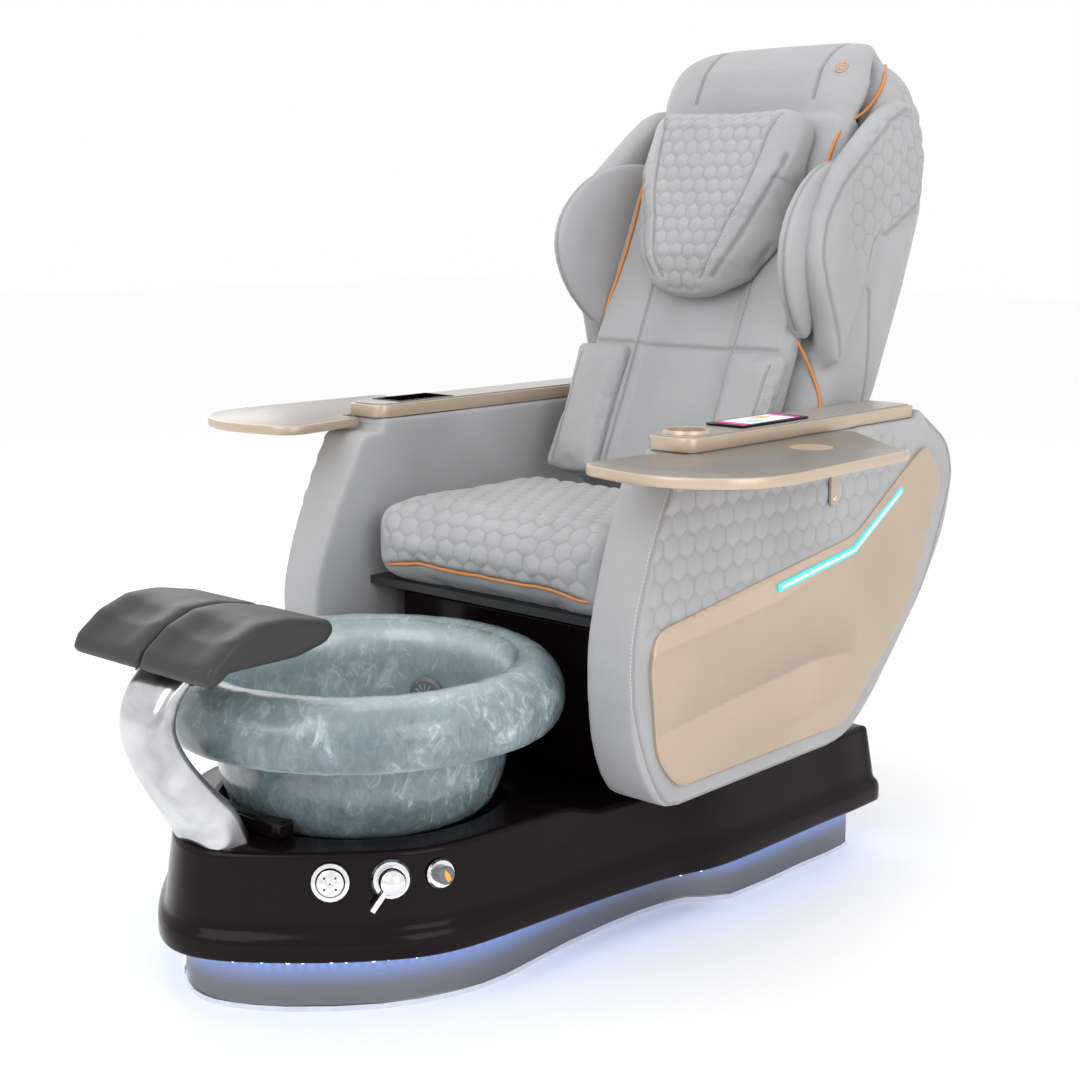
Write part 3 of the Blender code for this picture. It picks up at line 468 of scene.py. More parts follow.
# ---------------------------------------------------------------- Basin
# The foot basin is a hand-textured cast glass bowl with a fat rolled rim. It stands loose in
# the well, with a chromed drain at its bottom and a round jet cover on its rear wall.

BASIN_COLUMNS = 200
BASIN_CUTS = 3
RIPPLE_DEPTH = 0.0011
rim_low, rim_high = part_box("basin")
bowl_floor = rim_low.z
rim_top = rim_high.z
RIM_REACH = rim_high.x


def cut_corners(loop, times):
    """Round a closed line of points by cutting its corners again and again."""
    line = np.array(loop, float)
    for _ in range(times):
        ahead = np.roll(line, -1, axis=0)
        line = np.stack([0.75 * line + 0.25 * ahead, 0.25 * line + 0.75 * ahead], axis=1).reshape(-1, line.shape[1])
    return line


def revolved(profile, columns, x, y):
    """Points and faces of a closed profile of (radius, height) turned round a vertical line."""
    points, faces = [], []
    count = len(profile)
    for k in range(columns):
        a = 2 * math.pi * k / columns
        points += [(x + r * math.cos(a), y + r * math.sin(a), z) for r, z in profile]
        b, c = k * count, ((k + 1) % columns) * count
        for i in range(count):
            j = (i + 1) % count
            faces.append((b + i, b + j, c + j, c + i))
    return points, faces


bowl_profile = [(0.031, bowl_floor + 0.016), (0.090, bowl_floor + 0.015), (0.155, bowl_floor + 0.018),
                (0.197, bowl_floor + 0.036), (0.214, bowl_floor + 0.075), (0.220, 0.370), (0.221, 0.415),
                (0.226, rim_top - 0.030), (0.240, rim_top - 0.008), (0.262, rim_top + 0.002), (0.284, rim_top - 0.001),
                (0.303, rim_top - 0.013), (0.319, rim_top - 0.034), (RIM_REACH + 0.002, rim_top - 0.060),
                (RIM_REACH - 0.002, 0.388), (RIM_REACH - 0.010, 0.374), (RIM_REACH - 0.019, 0.372),
                (RIM_REACH - 0.022, 0.382), (RIM_REACH - 0.016, 0.405), (0.294, rim_top - 0.030),
                (0.262, rim_top - 0.024), (0.243, 0.400), (0.240, 0.372), (0.234, 0.335), (0.229, 0.290),
                (0.212, bowl_floor + 0.014), (0.190, bowl_floor), (0.090, bowl_floor), (0.031, bowl_floor)]
bowl_line = cut_corners(bowl_profile, BASIN_CUTS)
bowl_points, bowl_faces = revolved(bowl_line, BASIN_COLUMNS, well_centre.x, well_centre.y)


def basin_glass():
    """Cloudy teal glass, cast in sand: pale streaks, dark pools and a rippled, wet-looking skin, with painted light
    making it paler inside, on the rim's crown and in a highlight line under the rim.
    """
    made, tree, shader = shader_material("rippled_teal_glass", (0.25, 0.36, 0.39), 0.14)
    shader.inputs["Transmission Weight"].default_value = 0.10
    shader.inputs["Coat Weight"].default_value = 0.5
    shader.inputs["Coat Roughness"].default_value = 0.08
    place = shader_node(tree, "ShaderNodeTexCoord")
    broad = noise_on(tree, 7.0, 8.0, Roughness=0.62, Distortion=0.8)
    drawn = shader_node(tree, "ShaderNodeMapping", Vector=place.outputs["Object"], Scale=(42, 42, 26),
                        Rotation=(0.5, 0.3, 0.6))
    streak = shader_node(tree, "ShaderNodeTexNoise", Vector=drawn.outputs[0], Scale=1.0, Detail=8.0, Roughness=0.68,
                         Distortion=1.6)
    mixed = shader_node(tree, "ShaderNodeMath", {"operation": "MULTIPLY_ADD"}, i0=streak.outputs["Fac"], i1=0.55,
                        i2=0.0)
    both = shader_node(tree, "ShaderNodeMath", {"operation": "MULTIPLY_ADD"}, i0=broad.outputs["Fac"], i1=0.60,
                       i2=mixed.outputs[0])
    tone = shader_node(tree, "ShaderNodeValToRGB", Fac=both.outputs[0])
    ramp = tone.color_ramp
    ramp.elements[0].position = 0.40
    ramp.elements[0].color = (0.100, 0.155, 0.172, 1)
    ramp.elements[1].position = 0.78
    ramp.elements[1].color = (0.56, 0.68, 0.71, 1)
    for at, colour in ((0.52, (0.145, 0.205, 0.225, 1)), (0.62, (0.205, 0.275, 0.300, 1))):
        ramp.elements.new(at).color = colour
    # Painted light: an attribute mixes the glass towards a pale teal where light would fall on it.
    lit = shader_node(tree, "ShaderNodeAttribute", {"attribute_name": "painted_glass_light"})
    paler = shader_node(tree, "ShaderNodeMix", {"data_type": "RGBA"}, i0=lit.outputs["Fac"], i6=tone.outputs[0],
                        i7=(0.60, 0.72, 0.75, 1))
    tree.links.new(paler.outputs[2], shader.inputs["Base Color"])
    roughened(tree, shader, streak.outputs["Fac"], 0.06, 0.38)
    bumped(tree, shader, 0.55, 0.0022, both.outputs[0])
    return made


rippled_glass = basin_glass()
bowl = piece_of("basin_cast_glass", bowl_points, bowl_faces, rippled_glass, 180)
ripples = np.array([noise(Vector(v.co) * 26.0) + 0.6 * noise(Vector(v.co) * 61.0) for v in bowl.data.vertices])
normals = np.array([v.normal for v in bowl.data.vertices])
shape = np.array([v.co for v in bowl.data.vertices]) + normals * (ripples * RIPPLE_DEPTH)[:, None]
bowl.data.vertices.foreach_set("co", shape.ravel())
# Painted light: the bowl's upward-facing inside, the crown of the rim and a highlight line under the rim are made
# paler.
from_middle = np.hypot(shape[:, 0] - well_centre.x, shape[:, 1] - well_centre.y)
facing_up = np.clip(normals[:, 2] * 2 + 0.9 - (from_middle > 0.205) * 0.6, 0, 1)
inside = np.clip((0.250 - from_middle) / 0.02, 0, 1) * facing_up
lip = np.exp(-((shape[:, 2] - 0.373) / 0.0045) ** 2) * (from_middle > 0.26)
crown = np.clip(normals[:, 2], 0, 1) ** 2 * (from_middle > 0.25) * 0.35
painted_glass_light_layer = bowl.data.attributes.new("painted_glass_light", "FLOAT", "POINT")
painted_glass_light_layer.data.foreach_set("value", np.clip(0.55 * inside + 0.75 * lip + crown, 0, 0.8).astype(np.float32))
fit_on(bowl, "base", "rippled_glass", "basin")

grey_moulding, grey_tree, grey_shader = shader_material("satin_grey_plastic", (0.13, 0.14, 0.15), 0.42)
bumped(grey_tree, grey_shader, 0.2, 0.0002, noise_on(grey_tree, 900.0, 2.0).outputs["Fac"])


def clean_chrome():
    """Polished plating with faint wiping marks."""
    made, tree, shader = shader_material("plated_chrome", (0.82, 0.82, 0.84), 0.09, 1.0)
    haze = noise_on(tree, 45.0, 5.0)
    roughened(tree, shader, haze.outputs["Fac"], 0.05, 0.20)
    return made


plated_chrome = clean_chrome()
for node_name in ("basin_jet_cover", "jet_motor", "drain_pump", "massage_carriage", "diverter_knob"):
    frame["nodes"][node_name].data.materials.clear()
    frame["nodes"][node_name].data.materials.append(grey_moulding)
clad("basin_drain", "basin_drain_plated", plated_chrome, "base", "chrome", 50)

# Jet slots: short raised ribs in a ring on the jet cover, moulded with it.
JET_RIBS = 12
jet_low, jet_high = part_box("basin_jet_cover")
jet_mid = (jet_low + jet_high) / 2
jet_out = Vector((well_centre.x - jet_mid.x, well_centre.y - jet_mid.y, 0)).normalized()
jet_side = jet_out.cross(Vector((0, 0, 1)))
rib_points, rib_faces = [], []
for k in range(JET_RIBS):
    turn = 2 * math.pi * k / JET_RIBS
    radial = jet_side * math.cos(turn) + Vector((0, 0, 1)) * math.sin(turn)
    sideways = radial.cross(jet_out)
    start = len(rib_points)
    for reach, wide in ((0.010, 0.0012), (0.021, 0.0018)):
        for s, lift in ((-1, 0.001), (1, 0.001), (1, 0.0045), (-1, 0.0045)):
            rib_points.append(jet_mid + radial * reach + sideways * wide * s + jet_out * lift)
    a = start
    rib_faces += [(a, a + 1, a + 2, a + 3), (a + 4, a + 5, a + 6, a + 7), (a, a + 1, a + 5, a + 4),
                  (a + 1, a + 2, a + 6, a + 5), (a + 2, a + 3, a + 7, a + 6), (a + 3, a, a + 4, a + 7)]
fit_on(piece_of("jet_cover_ribs", rib_points, rib_faces, plated_chrome, 30), "base", "chrome")

# ---------------------------------------------------------------- Footrest arm
# The footrest stands on one hollow cast aluminium arm, polished all over, that curves up in
# front of the basin. A black block holds its foot, and a steel pin at its top carries the pads.

ARM_COLUMNS = 48
ARM_STEPS = 10
arm_low, arm_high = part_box("footrest_arm")
arm_reach = (arm_high.x - arm_low.x) / 2
# The arm's centre line from foot to head, as (y, z, thickness).
ARM_LINE = [(-0.598, 0.2493, 0.078), (-0.616, 0.284, 0.074), (-0.645, 0.322, 0.066), (-0.680, 0.372, 0.057),
            (-0.703, 0.420, 0.050), (-0.707, 0.456, 0.045), (-0.694, 0.490, 0.037), (-0.672, 0.514, 0.028),
            (-0.658, 0.526, 0.020)]


def flowing(points, steps):
    """A smooth curve through all of the points, given number of steps to a span."""
    line = np.array(points, float)
    ends = np.vstack([2 * line[0] - line[1], line, 2 * line[-1] - line[-2]])
    out = []
    for i in range(1, len(ends) - 2):
        a, b, c, d = ends[i - 1:i + 3]
        for t in np.linspace(0, 1, steps, endpoint=False):
            out.append(0.5 * (2 * b + (c - a) * t + (2 * a - 5 * b + 4 * c - d) * t * t
                              + (3 * b - a - 3 * c + d) * t ** 3))
    out.append(line[-1])
    return np.array(out)


arm_line = flowing(ARM_LINE, ARM_STEPS)
arm_rings = []
for i, (y, z, thick) in enumerate(arm_line):
    ahead = arm_line[min(i + 1, len(arm_line) - 1)] - arm_line[max(i - 1, 0)]
    share = i / (len(arm_line) - 1)
    along = Vector((0, ahead[0], ahead[1])).normalized()
    if share < 0.12:
        along = along.lerp(Vector((0, 0, 1)), 1 - share / 0.12).normalized()
    front = Vector((0, -along.z, along.y))
    wide = arm_reach * (1 - 0.16 * math.sin(math.pi * share) + 0.02 * share)
    ring = []
    for k in range(ARM_COLUMNS):
        a = 2 * math.pi * k / ARM_COLUMNS
        c, s = math.cos(a), math.sin(a)
        bulge = 0.42 if s > 0 else 0.62
        across = wide * math.copysign(abs(c) ** bulge, c)
        depth = thick / 2 * math.copysign(abs(s) ** (0.9 if s > 0 else 0.45), s)
        ring.append(Vector((across, y, z)) + front * depth)
    arm_rings.append(ring)


def polished_casting():
    """Hand-polished cast aluminium: nearly a mirror, with soft waves and cloudy patches."""
    made, tree, shader = shader_material("polished_cast_aluminium", (0.74, 0.74, 0.76), 0.16, 1.0)
    cloud = noise_on(tree, 11.0, 5.0, Distortion=0.6)
    roughened(tree, shader, cloud.outputs["Fac"], 0.10, 0.34)
    toned(tree, shader, cloud.outputs["Fac"], (0.40, 0.40, 0.41), (0.70, 0.70, 0.72), 0.30, 0.62)
    bumped(tree, shader, 0.12, 0.002, cloud.outputs["Fac"])
    return made


cast_arm = piece_of("footrest_arm_cast", *stacked(arm_rings), polished_casting(), 60)
fit_on(cast_arm, "base", "chrome", "footrest_arm")
fit_on(round_off(merged_copy("arm_mount_block", "arm_mount_moulded", gloss_black), 0.003, 3), "base",
       "gloss_black_shell", "arm_mount_block")

# ---------------------------------------------------------------- Foot pads
# Two moulded polyurethane pads lie side by side on the tilting plate. Each is soft and
# charcoal black, high and rounded behind, and dished in front for a heel.

PAD_VOXEL = 0.0038
DISH_DEPTH = 0.011


def points_of(piece):
    """A piece's points and normals as arrays."""
    count = len(piece.data.vertices)
    at, facing = np.empty(count * 3), np.empty(count * 3)
    piece.data.vertices.foreach_get("co", at)
    piece.data.vertices.foreach_get("normal", facing)
    return at.reshape(-1, 3), facing.reshape(-1, 3)


def move_points(piece, at):
    """Put a piece's points at new places."""
    piece.data.vertices.foreach_set("co", np.asarray(at).ravel())
    piece.data.update()


def evened(piece, voxel, smooth, factor=0.5):
    """Rebuild a piece as an even mesh of small squares, then smooth it."""
    rebuilt = piece.modifiers.new("even_mesh", "REMESH")
    rebuilt.mode = "VOXEL"
    rebuilt.voxel_size = voxel
    if smooth:
        ironed = piece.modifiers.new("ironed", "SMOOTH")
        ironed.factor = factor
        ironed.iterations = smooth
    set_shape(piece)
    piece.data.shade_smooth()
    return piece


def moulded_foam():
    """Charcoal self-skinned foam: fine leather grain, a soft sheen, paler where it is worn."""
    made, tree, shader = shader_material("charcoal_self_skin_foam", (0.018, 0.018, 0.019), 0.44)
    grain = cells_on(tree, 520.0)
    cloud = noise_on(tree, 16.0, 6.0)
    toned(tree, shader, cloud.outputs["Fac"], (0.011, 0.011, 0.012), (0.030, 0.030, 0.032))
    roughened(tree, shader, cloud.outputs["Fac"], 0.36, 0.56)
    bumped(tree, shader, 0.35, 0.0004, grain.outputs["Distance"])
    return made


foam_skin = moulded_foam()
for side in ("left", "right"):
    node_name = "foot_pad_" + side
    pad_low, pad_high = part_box(node_name)
    pad = evened(merged_copy(node_name, node_name + "_moulded", foam_skin), PAD_VOXEL, 10)
    at, facing = points_of(pad)
    middle = (pad_low.x + pad_high.x) / 2
    across = (at[:, 0] - middle) / 0.046
    along = (at[:, 1] - (pad_low.y + 0.062)) / 0.052
    dish = np.exp(-across ** 4 - along ** 2) * np.clip(facing[:, 2] * 1.6, 0, 1)
    crown = np.exp(-(((at[:, 1] - (pad_low.y + 0.135)) / 0.050) ** 2)) * np.clip(facing[:, 2], 0, 1)
    at[:, 2] += 0.004 * crown - DISH_DEPTH * dish
    move_points(pad, at)
    pad.modifiers.new("ironed", "SMOOTH").iterations = 6
    set_shape(pad)
    fit_on(pad, "footrest", "black_pad", node_name)

# ---------------------------------------------------------------- Water controls
# On the front left wall sit the pull-out spray in its dock, a single-lever mixer and a small
# diverter knob, all chromed brass screwed through the shell, with a plain orange pointer.

for node_name, body in (("spray_dock", "base"), ("mixer_escutcheon", "base"), ("mixer_lever", "mixer"),
                        ("diverter_bezel", "base")):
    fit_on(merged_copy(node_name, node_name + "_plated", plated_chrome, 35), body, "chrome", node_name)

joint_rows = {row["name"]: row for row in frame["joints"]}
spray_axis = Vector(joint_rows["spray_pull"]["axis"]).normalized()
knob_axis = Vector(joint_rows["diverter_turn"]["axis"]).normalized()


def face_turn(axis):
    """The turn that lays a shape modelled on the XY plane against an outward direction."""
    across = Vector((0, 0, 1)).cross(axis).normalized()
    return Matrix((across, axis.cross(across), axis)).transposed().to_4x4()


def turned_on(name, profile, columns, material, spot, axis, smooth=35):
    """A lathe-turned piece: a closed (radius, height) profile, set on a spot facing an axis."""
    points, faces = revolved(profile, columns, 0, 0)
    placed = Matrix.Translation(spot) @ face_turn(axis)
    return piece_of(name, [placed @ Vector(p) for p in points], faces, material, smooth)


head_low, head_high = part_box("spray_head")
spray_spot = (head_low + head_high) / 2 - spray_axis * 0.0075
SPRAY_FACE = [(0.0002, 0.0145), (0.0045, 0.0147), (0.0052, 0.0135), (0.0062, 0.0135), (0.0070, 0.0142),
              (0.0165, 0.0136), (0.0196, 0.0112), (0.0208, 0.0060), (0.0210, 0.0010), (0.0002, 0.0010)]
fit_on(turned_on("spray_head_plated", SPRAY_FACE, 48, plated_chrome, spray_spot, spray_axis), "spray", "chrome",
       "spray_head")
rubber_black, _, _ = shader_material("nozzle_black", (0.015, 0.015, 0.016), 0.5)
for k in range(5):
    a = math.radians(45 + 90 * k)
    reach = 0.0118 if k < 4 else 0.0
    spot = spray_spot + face_turn(spray_axis).to_3x3() @ Vector((reach * math.cos(a), reach * math.sin(a), 0.0135))
    fit_on(turned_on("spray_nozzle_%d" % (k + 1), [(0.0001, 0.0012), (0.0013, 0.0011), (0.0018, 0.0006),
                                                    (0.0018, -0.001), (0.0001, -0.001)], 16, rubber_black, spot,
                     spray_axis), "spray")

knob_low, knob_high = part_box("diverter_knob")
knob_spot = (knob_low + knob_high) / 2 + knob_axis * 0.0080
amber_plastic, _, _ = shader_material("amber_pointer", (0.85, 0.36, 0.03), 0.35)
pointer_outline = [(-0.0035, -0.0085), (0.0035, -0.0085), (0.0042, 0.0010), (0.0, 0.0105), (-0.0042, 0.0010)]
pointer_turn = Matrix.Translation(knob_spot) @ face_turn(knob_axis) @ Matrix.Rotation(math.radians(20), 4, "Z")
pointer_points = [pointer_turn @ Vector((x, y, z)) for z in (-0.001, 0.0022) for x, y in pointer_outline]
pointer_faces = [tuple(range(5))[::-1], tuple(range(5, 10))]
pointer_faces += [(i, (i + 1) % 5, 5 + (i + 1) % 5, 5 + i) for i in range(5)]
pointer = round_off(piece_of("diverter_pointer", pointer_points, pointer_faces, amber_plastic, 30), 0.0007)
fit_on(pointer, "diverter")

# ---------------------------------------------------------------- Seat
# The seat is a block of foam on a board, in pale grey synthetic leather heat-pressed with a
# honeycomb quilt. A copper piping runs round its lower front edge, and it slides on rails.

SEAT_VOXEL = 0.0055
SEAT_SWELL = 0.013
HONEYCOMB = 0.040
QUILT_DEPTH = 0.0040
COPPER = (0.62, 0.24, 0.07)
seat_low, seat_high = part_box("seat_cushion")


def soft_leather(name, colour):
    """Synthetic leather: a pebbled grain, a satin skin, soft tone changes and painted shade in its creases and seams.
    """
    made, tree, shader = shader_material(name, colour, 0.48)
    shader.inputs["Specular IOR Level"].default_value = 0.42
    shader.inputs["Sheen Weight"].default_value = 0.12
    cloud = noise_on(tree, 5.5, 6.0)
    tone = toned(tree, shader, cloud.outputs["Fac"], shaded(colour, 0.90), shaded(colour, 1.06), 0.3, 0.7)
    # Painted shade: the leather darkens where the attribute marks quilt grooves and seams.
    painted_crease_shade = shader_node(tree, "ShaderNodeAttribute", {"attribute_name": "painted_crease_shade"})
    shade = shader_node(tree, "ShaderNodeMix", {"data_type": "RGBA"}, i0=painted_crease_shade.outputs["Fac"], i6=tone.outputs[0],
                        i7=(*[c * 0.42 for c in colour], 1))
    tree.links.new(shade.outputs[2], shader.inputs["Base Color"])
    pebble = cells_on(tree, 620.0)
    crinkle = noise_on(tree, 110.0, 5.0)
    grain = shader_node(tree, "ShaderNodeMath", {"operation": "MULTIPLY_ADD"}, i0=crinkle.outputs["Fac"], i1=0.8,
                        i2=pebble.outputs["Distance"])
    roughened(tree, shader, grain.outputs[0], 0.40, 0.58)
    bumped(tree, shader, 0.30, 0.0005, grain.outputs[0])
    return made


grey_leather = soft_leather("pale_grey_leather", (0.375, 0.375, 0.385))


def cord_finish(name, colour):
    """Piping and thread: satin, with a fine ribbed skin."""
    made, tree, shader = shader_material(name, colour, 0.38)
    ribs = noise_on(tree, 420.0, 3.0)
    bumped(tree, shader, 0.4, 0.0004, ribs.outputs["Fac"])
    toned(tree, shader, ribs.outputs["Fac"], shaded(colour, 0.75), shaded(colour, 1.2))
    return made


copper_piping = cord_finish("copper_piping", COPPER)
grey_thread = cord_finish("grey_thread", (0.62, 0.62, 0.63))


def swelled(piece, pressure, most, frames=20):
    """Blow a cover up with cloth pressure, letting no point move further than most."""
    before, _ = points_of(piece)
    cover = piece.modifiers.new("cover", "CLOTH")
    cover.settings.quality = 4
    cover.settings.mass = 0.4
    cover.settings.tension_stiffness = 12
    cover.settings.compression_stiffness = 12
    cover.settings.bending_stiffness = 1.2
    cover.settings.use_pressure = True
    cover.settings.uniform_pressure_force = pressure
    cover.settings.effector_weights.gravity = 0
    cover.point_cache.frame_start = 1
    cover.point_cache.frame_end = frames
    for number in range(1, frames + 1):
        scene.frame_set(number)
    graph = bpy.context.evaluated_depsgraph_get()
    shaped = piece.evaluated_get(graph).to_mesh()
    after = np.empty(len(before) * 3)
    shaped.vertices.foreach_get("co", after)
    piece.evaluated_get(graph).to_mesh_clear()
    piece.modifiers.remove(cover)
    scene.frame_set(1)
    moved = after.reshape(-1, 3) - before
    length = np.linalg.norm(moved, axis=1)
    held = np.minimum(1.0, most / np.maximum(length, 1e-9))
    move_points(piece, before + moved * held[:, None])
    return piece


def refined(piece):
    """Split every face once, smoothly."""
    finer = piece.modifiers.new("finer", "SUBSURF")
    finer.levels = finer.render_levels = 1
    set_shape(piece)
    piece.data.shade_smooth()
    return piece


def honeycomb(u, v, size):
    """How high a quilted honeycomb stands at (u, v): 1 in a cell's middle, 0 on its edge."""
    tall = size * math.sqrt(3)
    best = None
    for shift in (0.0, 0.5):
        du = u / size - shift
        dv = v / tall - shift
        du = (du - np.round(du)) * size
        dv = (dv - np.round(dv)) * tall
        reach = np.maximum(np.abs(du), 0.5 * np.abs(du) + math.sqrt(3) / 2 * np.abs(dv)) / (size / 2)
        best = reach if best is None else np.minimum(best, reach)
    return 1 - np.clip(best, 0, 1) ** 2.4


def paint_crease_shade(piece, amount):
    """Record how deep in a crease each point lies, for the leather's painted shade there."""
    crease_shade_layer = piece.data.attributes.get("painted_crease_shade") or piece.data.attributes.new("painted_crease_shade", "FLOAT", "POINT")
    before = np.zeros(len(piece.data.vertices), np.float32)
    crease_shade_layer.data.foreach_get("value", before)
    crease_shade_layer.data.foreach_set("value", np.maximum(before, amount).astype(np.float32))


def quilted(piece, u, v, where, depth=QUILT_DEPTH, size=HONEYCOMB):
    """Press a honeycomb quilt into a piece where the mask is 1."""
    at, facing = points_of(piece)
    height = honeycomb(u, v, size)
    move_points(piece, at + facing * ((height - 1) * depth * where)[:, None])
    # Painted shade in the quilt's grooves.
    paint_crease_shade(piece, np.clip((0.45 - height) / 0.45, 0, 1) ** 2 * where * 0.40)


def away_from(at, line):
    """Each point's distance from an open line of points."""
    nearest = np.full(len(at), 1e9)
    for a, b in zip(line[:-1], line[1:]):
        run = b - a
        share = np.clip(((at - a) @ run) / max(run @ run, 1e-12), 0, 1)
        nearest = np.minimum(nearest, np.linalg.norm(at - a - share[:, None] * run, axis=1))
    return nearest


def seamed(piece, line, width=0.0045, depth=0.0035):
    """Sink a sewn seam along a line that lies on a piece."""
    at, facing = points_of(piece)
    pull = np.exp(-(away_from(at, np.array(line)) / width) ** 2)
    move_points(piece, at - facing * (pull * depth)[:, None])
    # Painted shade along the seam.
    paint_crease_shade(piece, pull * 0.55)


def laid_on(piece, line, lift=0.0):
    """Move a line's points onto the nearest place on a piece, lifted off its surface."""
    out = []
    for p in line:
        _, spot, facing, _ = piece.closest_point_on_mesh(Vector(p))
        out.append(np.array(spot + facing * lift))
    return np.array(out)


stitch_tree, stitch_in, stitch_out = tree_with_inputs("lock_stitches", {
    "Pitch": "NodeSocketFloat", "Length": "NodeSocketFloat", "Thickness": "NodeSocketFloat",
    "Thread": "NodeSocketMaterial"})
stitch_line = shader_node(stitch_tree, "GeometryNodeMeshToCurve", Mesh=stitch_in.outputs["Geometry"])
stitch_spots = shader_node(stitch_tree, "GeometryNodeResampleCurve", {"mode": "LENGTH"}, Curve=stitch_line.outputs[0],
                   Length=stitch_in.outputs["Pitch"])
stitch_along = shader_node(stitch_tree, "GeometryNodeInputTangent")
stitch_turn = shader_node(stitch_tree, "FunctionNodeAlignRotationToVector", {"axis": "Z"},
                          Vector=stitch_along.outputs[0])
stitch_bar = shader_node(stitch_tree, "GeometryNodeMeshCylinder", Vertices=6, Radius=stitch_in.outputs["Thickness"],
                 Depth=stitch_in.outputs["Length"])
stitch_set = shader_node(stitch_tree, "GeometryNodeInstanceOnPoints", Points=stitch_spots.outputs[0],
                 Instance=stitch_bar.outputs[0], Rotation=stitch_turn.outputs[0])
stitch_real = shader_node(stitch_tree, "GeometryNodeRealizeInstances", Geometry=stitch_set.outputs[0])
stitch_made = shader_node(stitch_tree, "GeometryNodeSetMaterial", Geometry=stitch_real.outputs[0],
                  Material=stitch_in.outputs["Thread"])
stitch_tree.links.new(stitch_made.outputs[0], stitch_out.inputs[0])


def stitched(name, piece, line, body, beside=0.0, pitch=0.0065):
    """A row of stitches along a line on a piece, set a little to one side of it."""
    line = np.array(line)
    if beside:
        run = np.gradient(line, axis=0)
        facing = np.array([piece.closest_point_on_mesh(Vector(p))[2] for p in line])
        side = np.cross(run, facing)
        line = line + side / np.linalg.norm(side, axis=1)[:, None] * beside
    spots = laid_on(piece, line, 0.0003)
    made = grown_mesh(name, spots, False, stitch_tree,
                      {"Pitch": pitch, "Length": 0.0042, "Thickness": 0.0006, "Thread": grey_thread}, grey_thread)
    return fit_on(made, body, "grey_leather")


def corded(name, line, radius, material, body, slot="grey_leather"):
    """A round cord along a line, such as a piping sewn into a seam."""
    curve = bpy.data.curves.new(name, "CURVE")
    curve.dimensions = "3D"
    curve.bevel_depth = radius
    curve.bevel_resolution = 3
    curve.use_fill_caps = True
    spline = curve.splines.new("POLY")
    spline.points.add(len(line) - 1)
    for point, spot in zip(spline.points, line):
        point.co = (*spot, 1)
    holder = bpy.data.objects.new(name + "_line", curve)
    scene.collection.objects.link(holder)
    graph = bpy.context.evaluated_depsgraph_get()
    mesh = bpy.data.meshes.new_from_object(holder.evaluated_get(graph))
    bpy.data.objects.remove(holder)
    mesh.materials.clear()
    mesh.materials.append(material)
    welded = bmesh.new()
    welded.from_mesh(mesh)
    bmesh.ops.remove_doubles(welded, verts=welded.verts, dist=1e-6)
    welded.to_mesh(mesh)
    welded.free()
    mesh.shade_smooth()
    made = bpy.data.objects.new(name, mesh)
    scene.collection.objects.link(made)
    return fit_on(made, body, slot)


def eased(line, times=15):
    """A line with its small waves smoothed away, its ends kept."""
    line = np.array(line, float)
    for _ in range(times):
        line[1:-1] = (line[:-2] + 2 * line[1:-1] + line[2:]) / 4
    return line


seat = merged_copy("seat_cushion", "seat_cushion_quilted", grey_leather)
at, _ = points_of(seat)
seat_middle = (seat_low.y + seat_high.y) / 2
front_share = np.clip((seat_middle - at[:, 1]) / (seat_middle - seat_low.y), 0, 1)
at[:, 0] *= 1 + 0.012 * (1 - front_share ** 3)
move_points(seat, at)
evened(seat, SEAT_VOXEL, 8)
swelled(seat, 4.0, SEAT_SWELL)
refined(seat)
at, facing = points_of(seat)
roll = 0.050
roll_y, roll_z = seat_low.y + roll, seat_high.z - roll
angle = np.arctan2(np.maximum(roll_y - at[:, 1], 0), np.maximum(at[:, 2] - roll_z, 1e-6))
run_down = np.maximum(roll_z - at[:, 2], 0) * (at[:, 1] < roll_y)
along = np.where(at[:, 1] > roll_y, at[:, 1], roll_y - roll * angle - run_down)
on_top = np.clip((facing[:, 2] + 0.15) * 4, 0, 1) + np.clip(-facing[:, 1] * 3 - 0.2, 0, 1)
low_edge = np.clip((at[:, 2] - seat_low.z - 0.032) / 0.014, 0, 1)
quilted(seat, at[:, 0], along, np.clip(on_top, 0, 1) * low_edge * np.clip((0.5 - np.abs(facing[:, 0])) * 4, 0, 1))
welt_height = seat_low.z + 0.020
welt = [(x, seat_low.y - 0.02, welt_height) for x in np.linspace(-0.235, 0.235, 50)]
welt = [(-0.31, y, welt_height) for y in np.linspace(0.30, 0.0, 12)] + welt
welt += [(0.31, y, welt_height) for y in np.linspace(0.0, 0.30, 12)]
welt_line = eased(laid_on(seat, eased(laid_on(seat, welt), 12), 0.0016), 2)
seamed(seat, welt_line, 0.006, 0.003)
corded("seat_piping", welt_line, 0.0028, copper_piping, "chair")
fit_on(seat, "chair", "grey_leather", "seat_cushion")

# ---------------------------------------------------------------- Seat frame and pedestal
# Under the seat a black box hides the slide motor. Two bright steel rails stand on it and the
# powder-coated seat frame runs on them; the recline motor is bolted to the frame's rear.


def powder_coat():
    """Black powder coat: a fine satin orange peel."""
    made, tree, shader = shader_material("black_powder_coat", (0.018, 0.018, 0.020), 0.5)
    peel = noise_on(tree, 700.0, 2.0)
    roughened(tree, shader, peel.outputs["Fac"], 0.42, 0.60)
    bumped(tree, shader, 0.3, 0.0003, peel.outputs["Fac"])
    return made


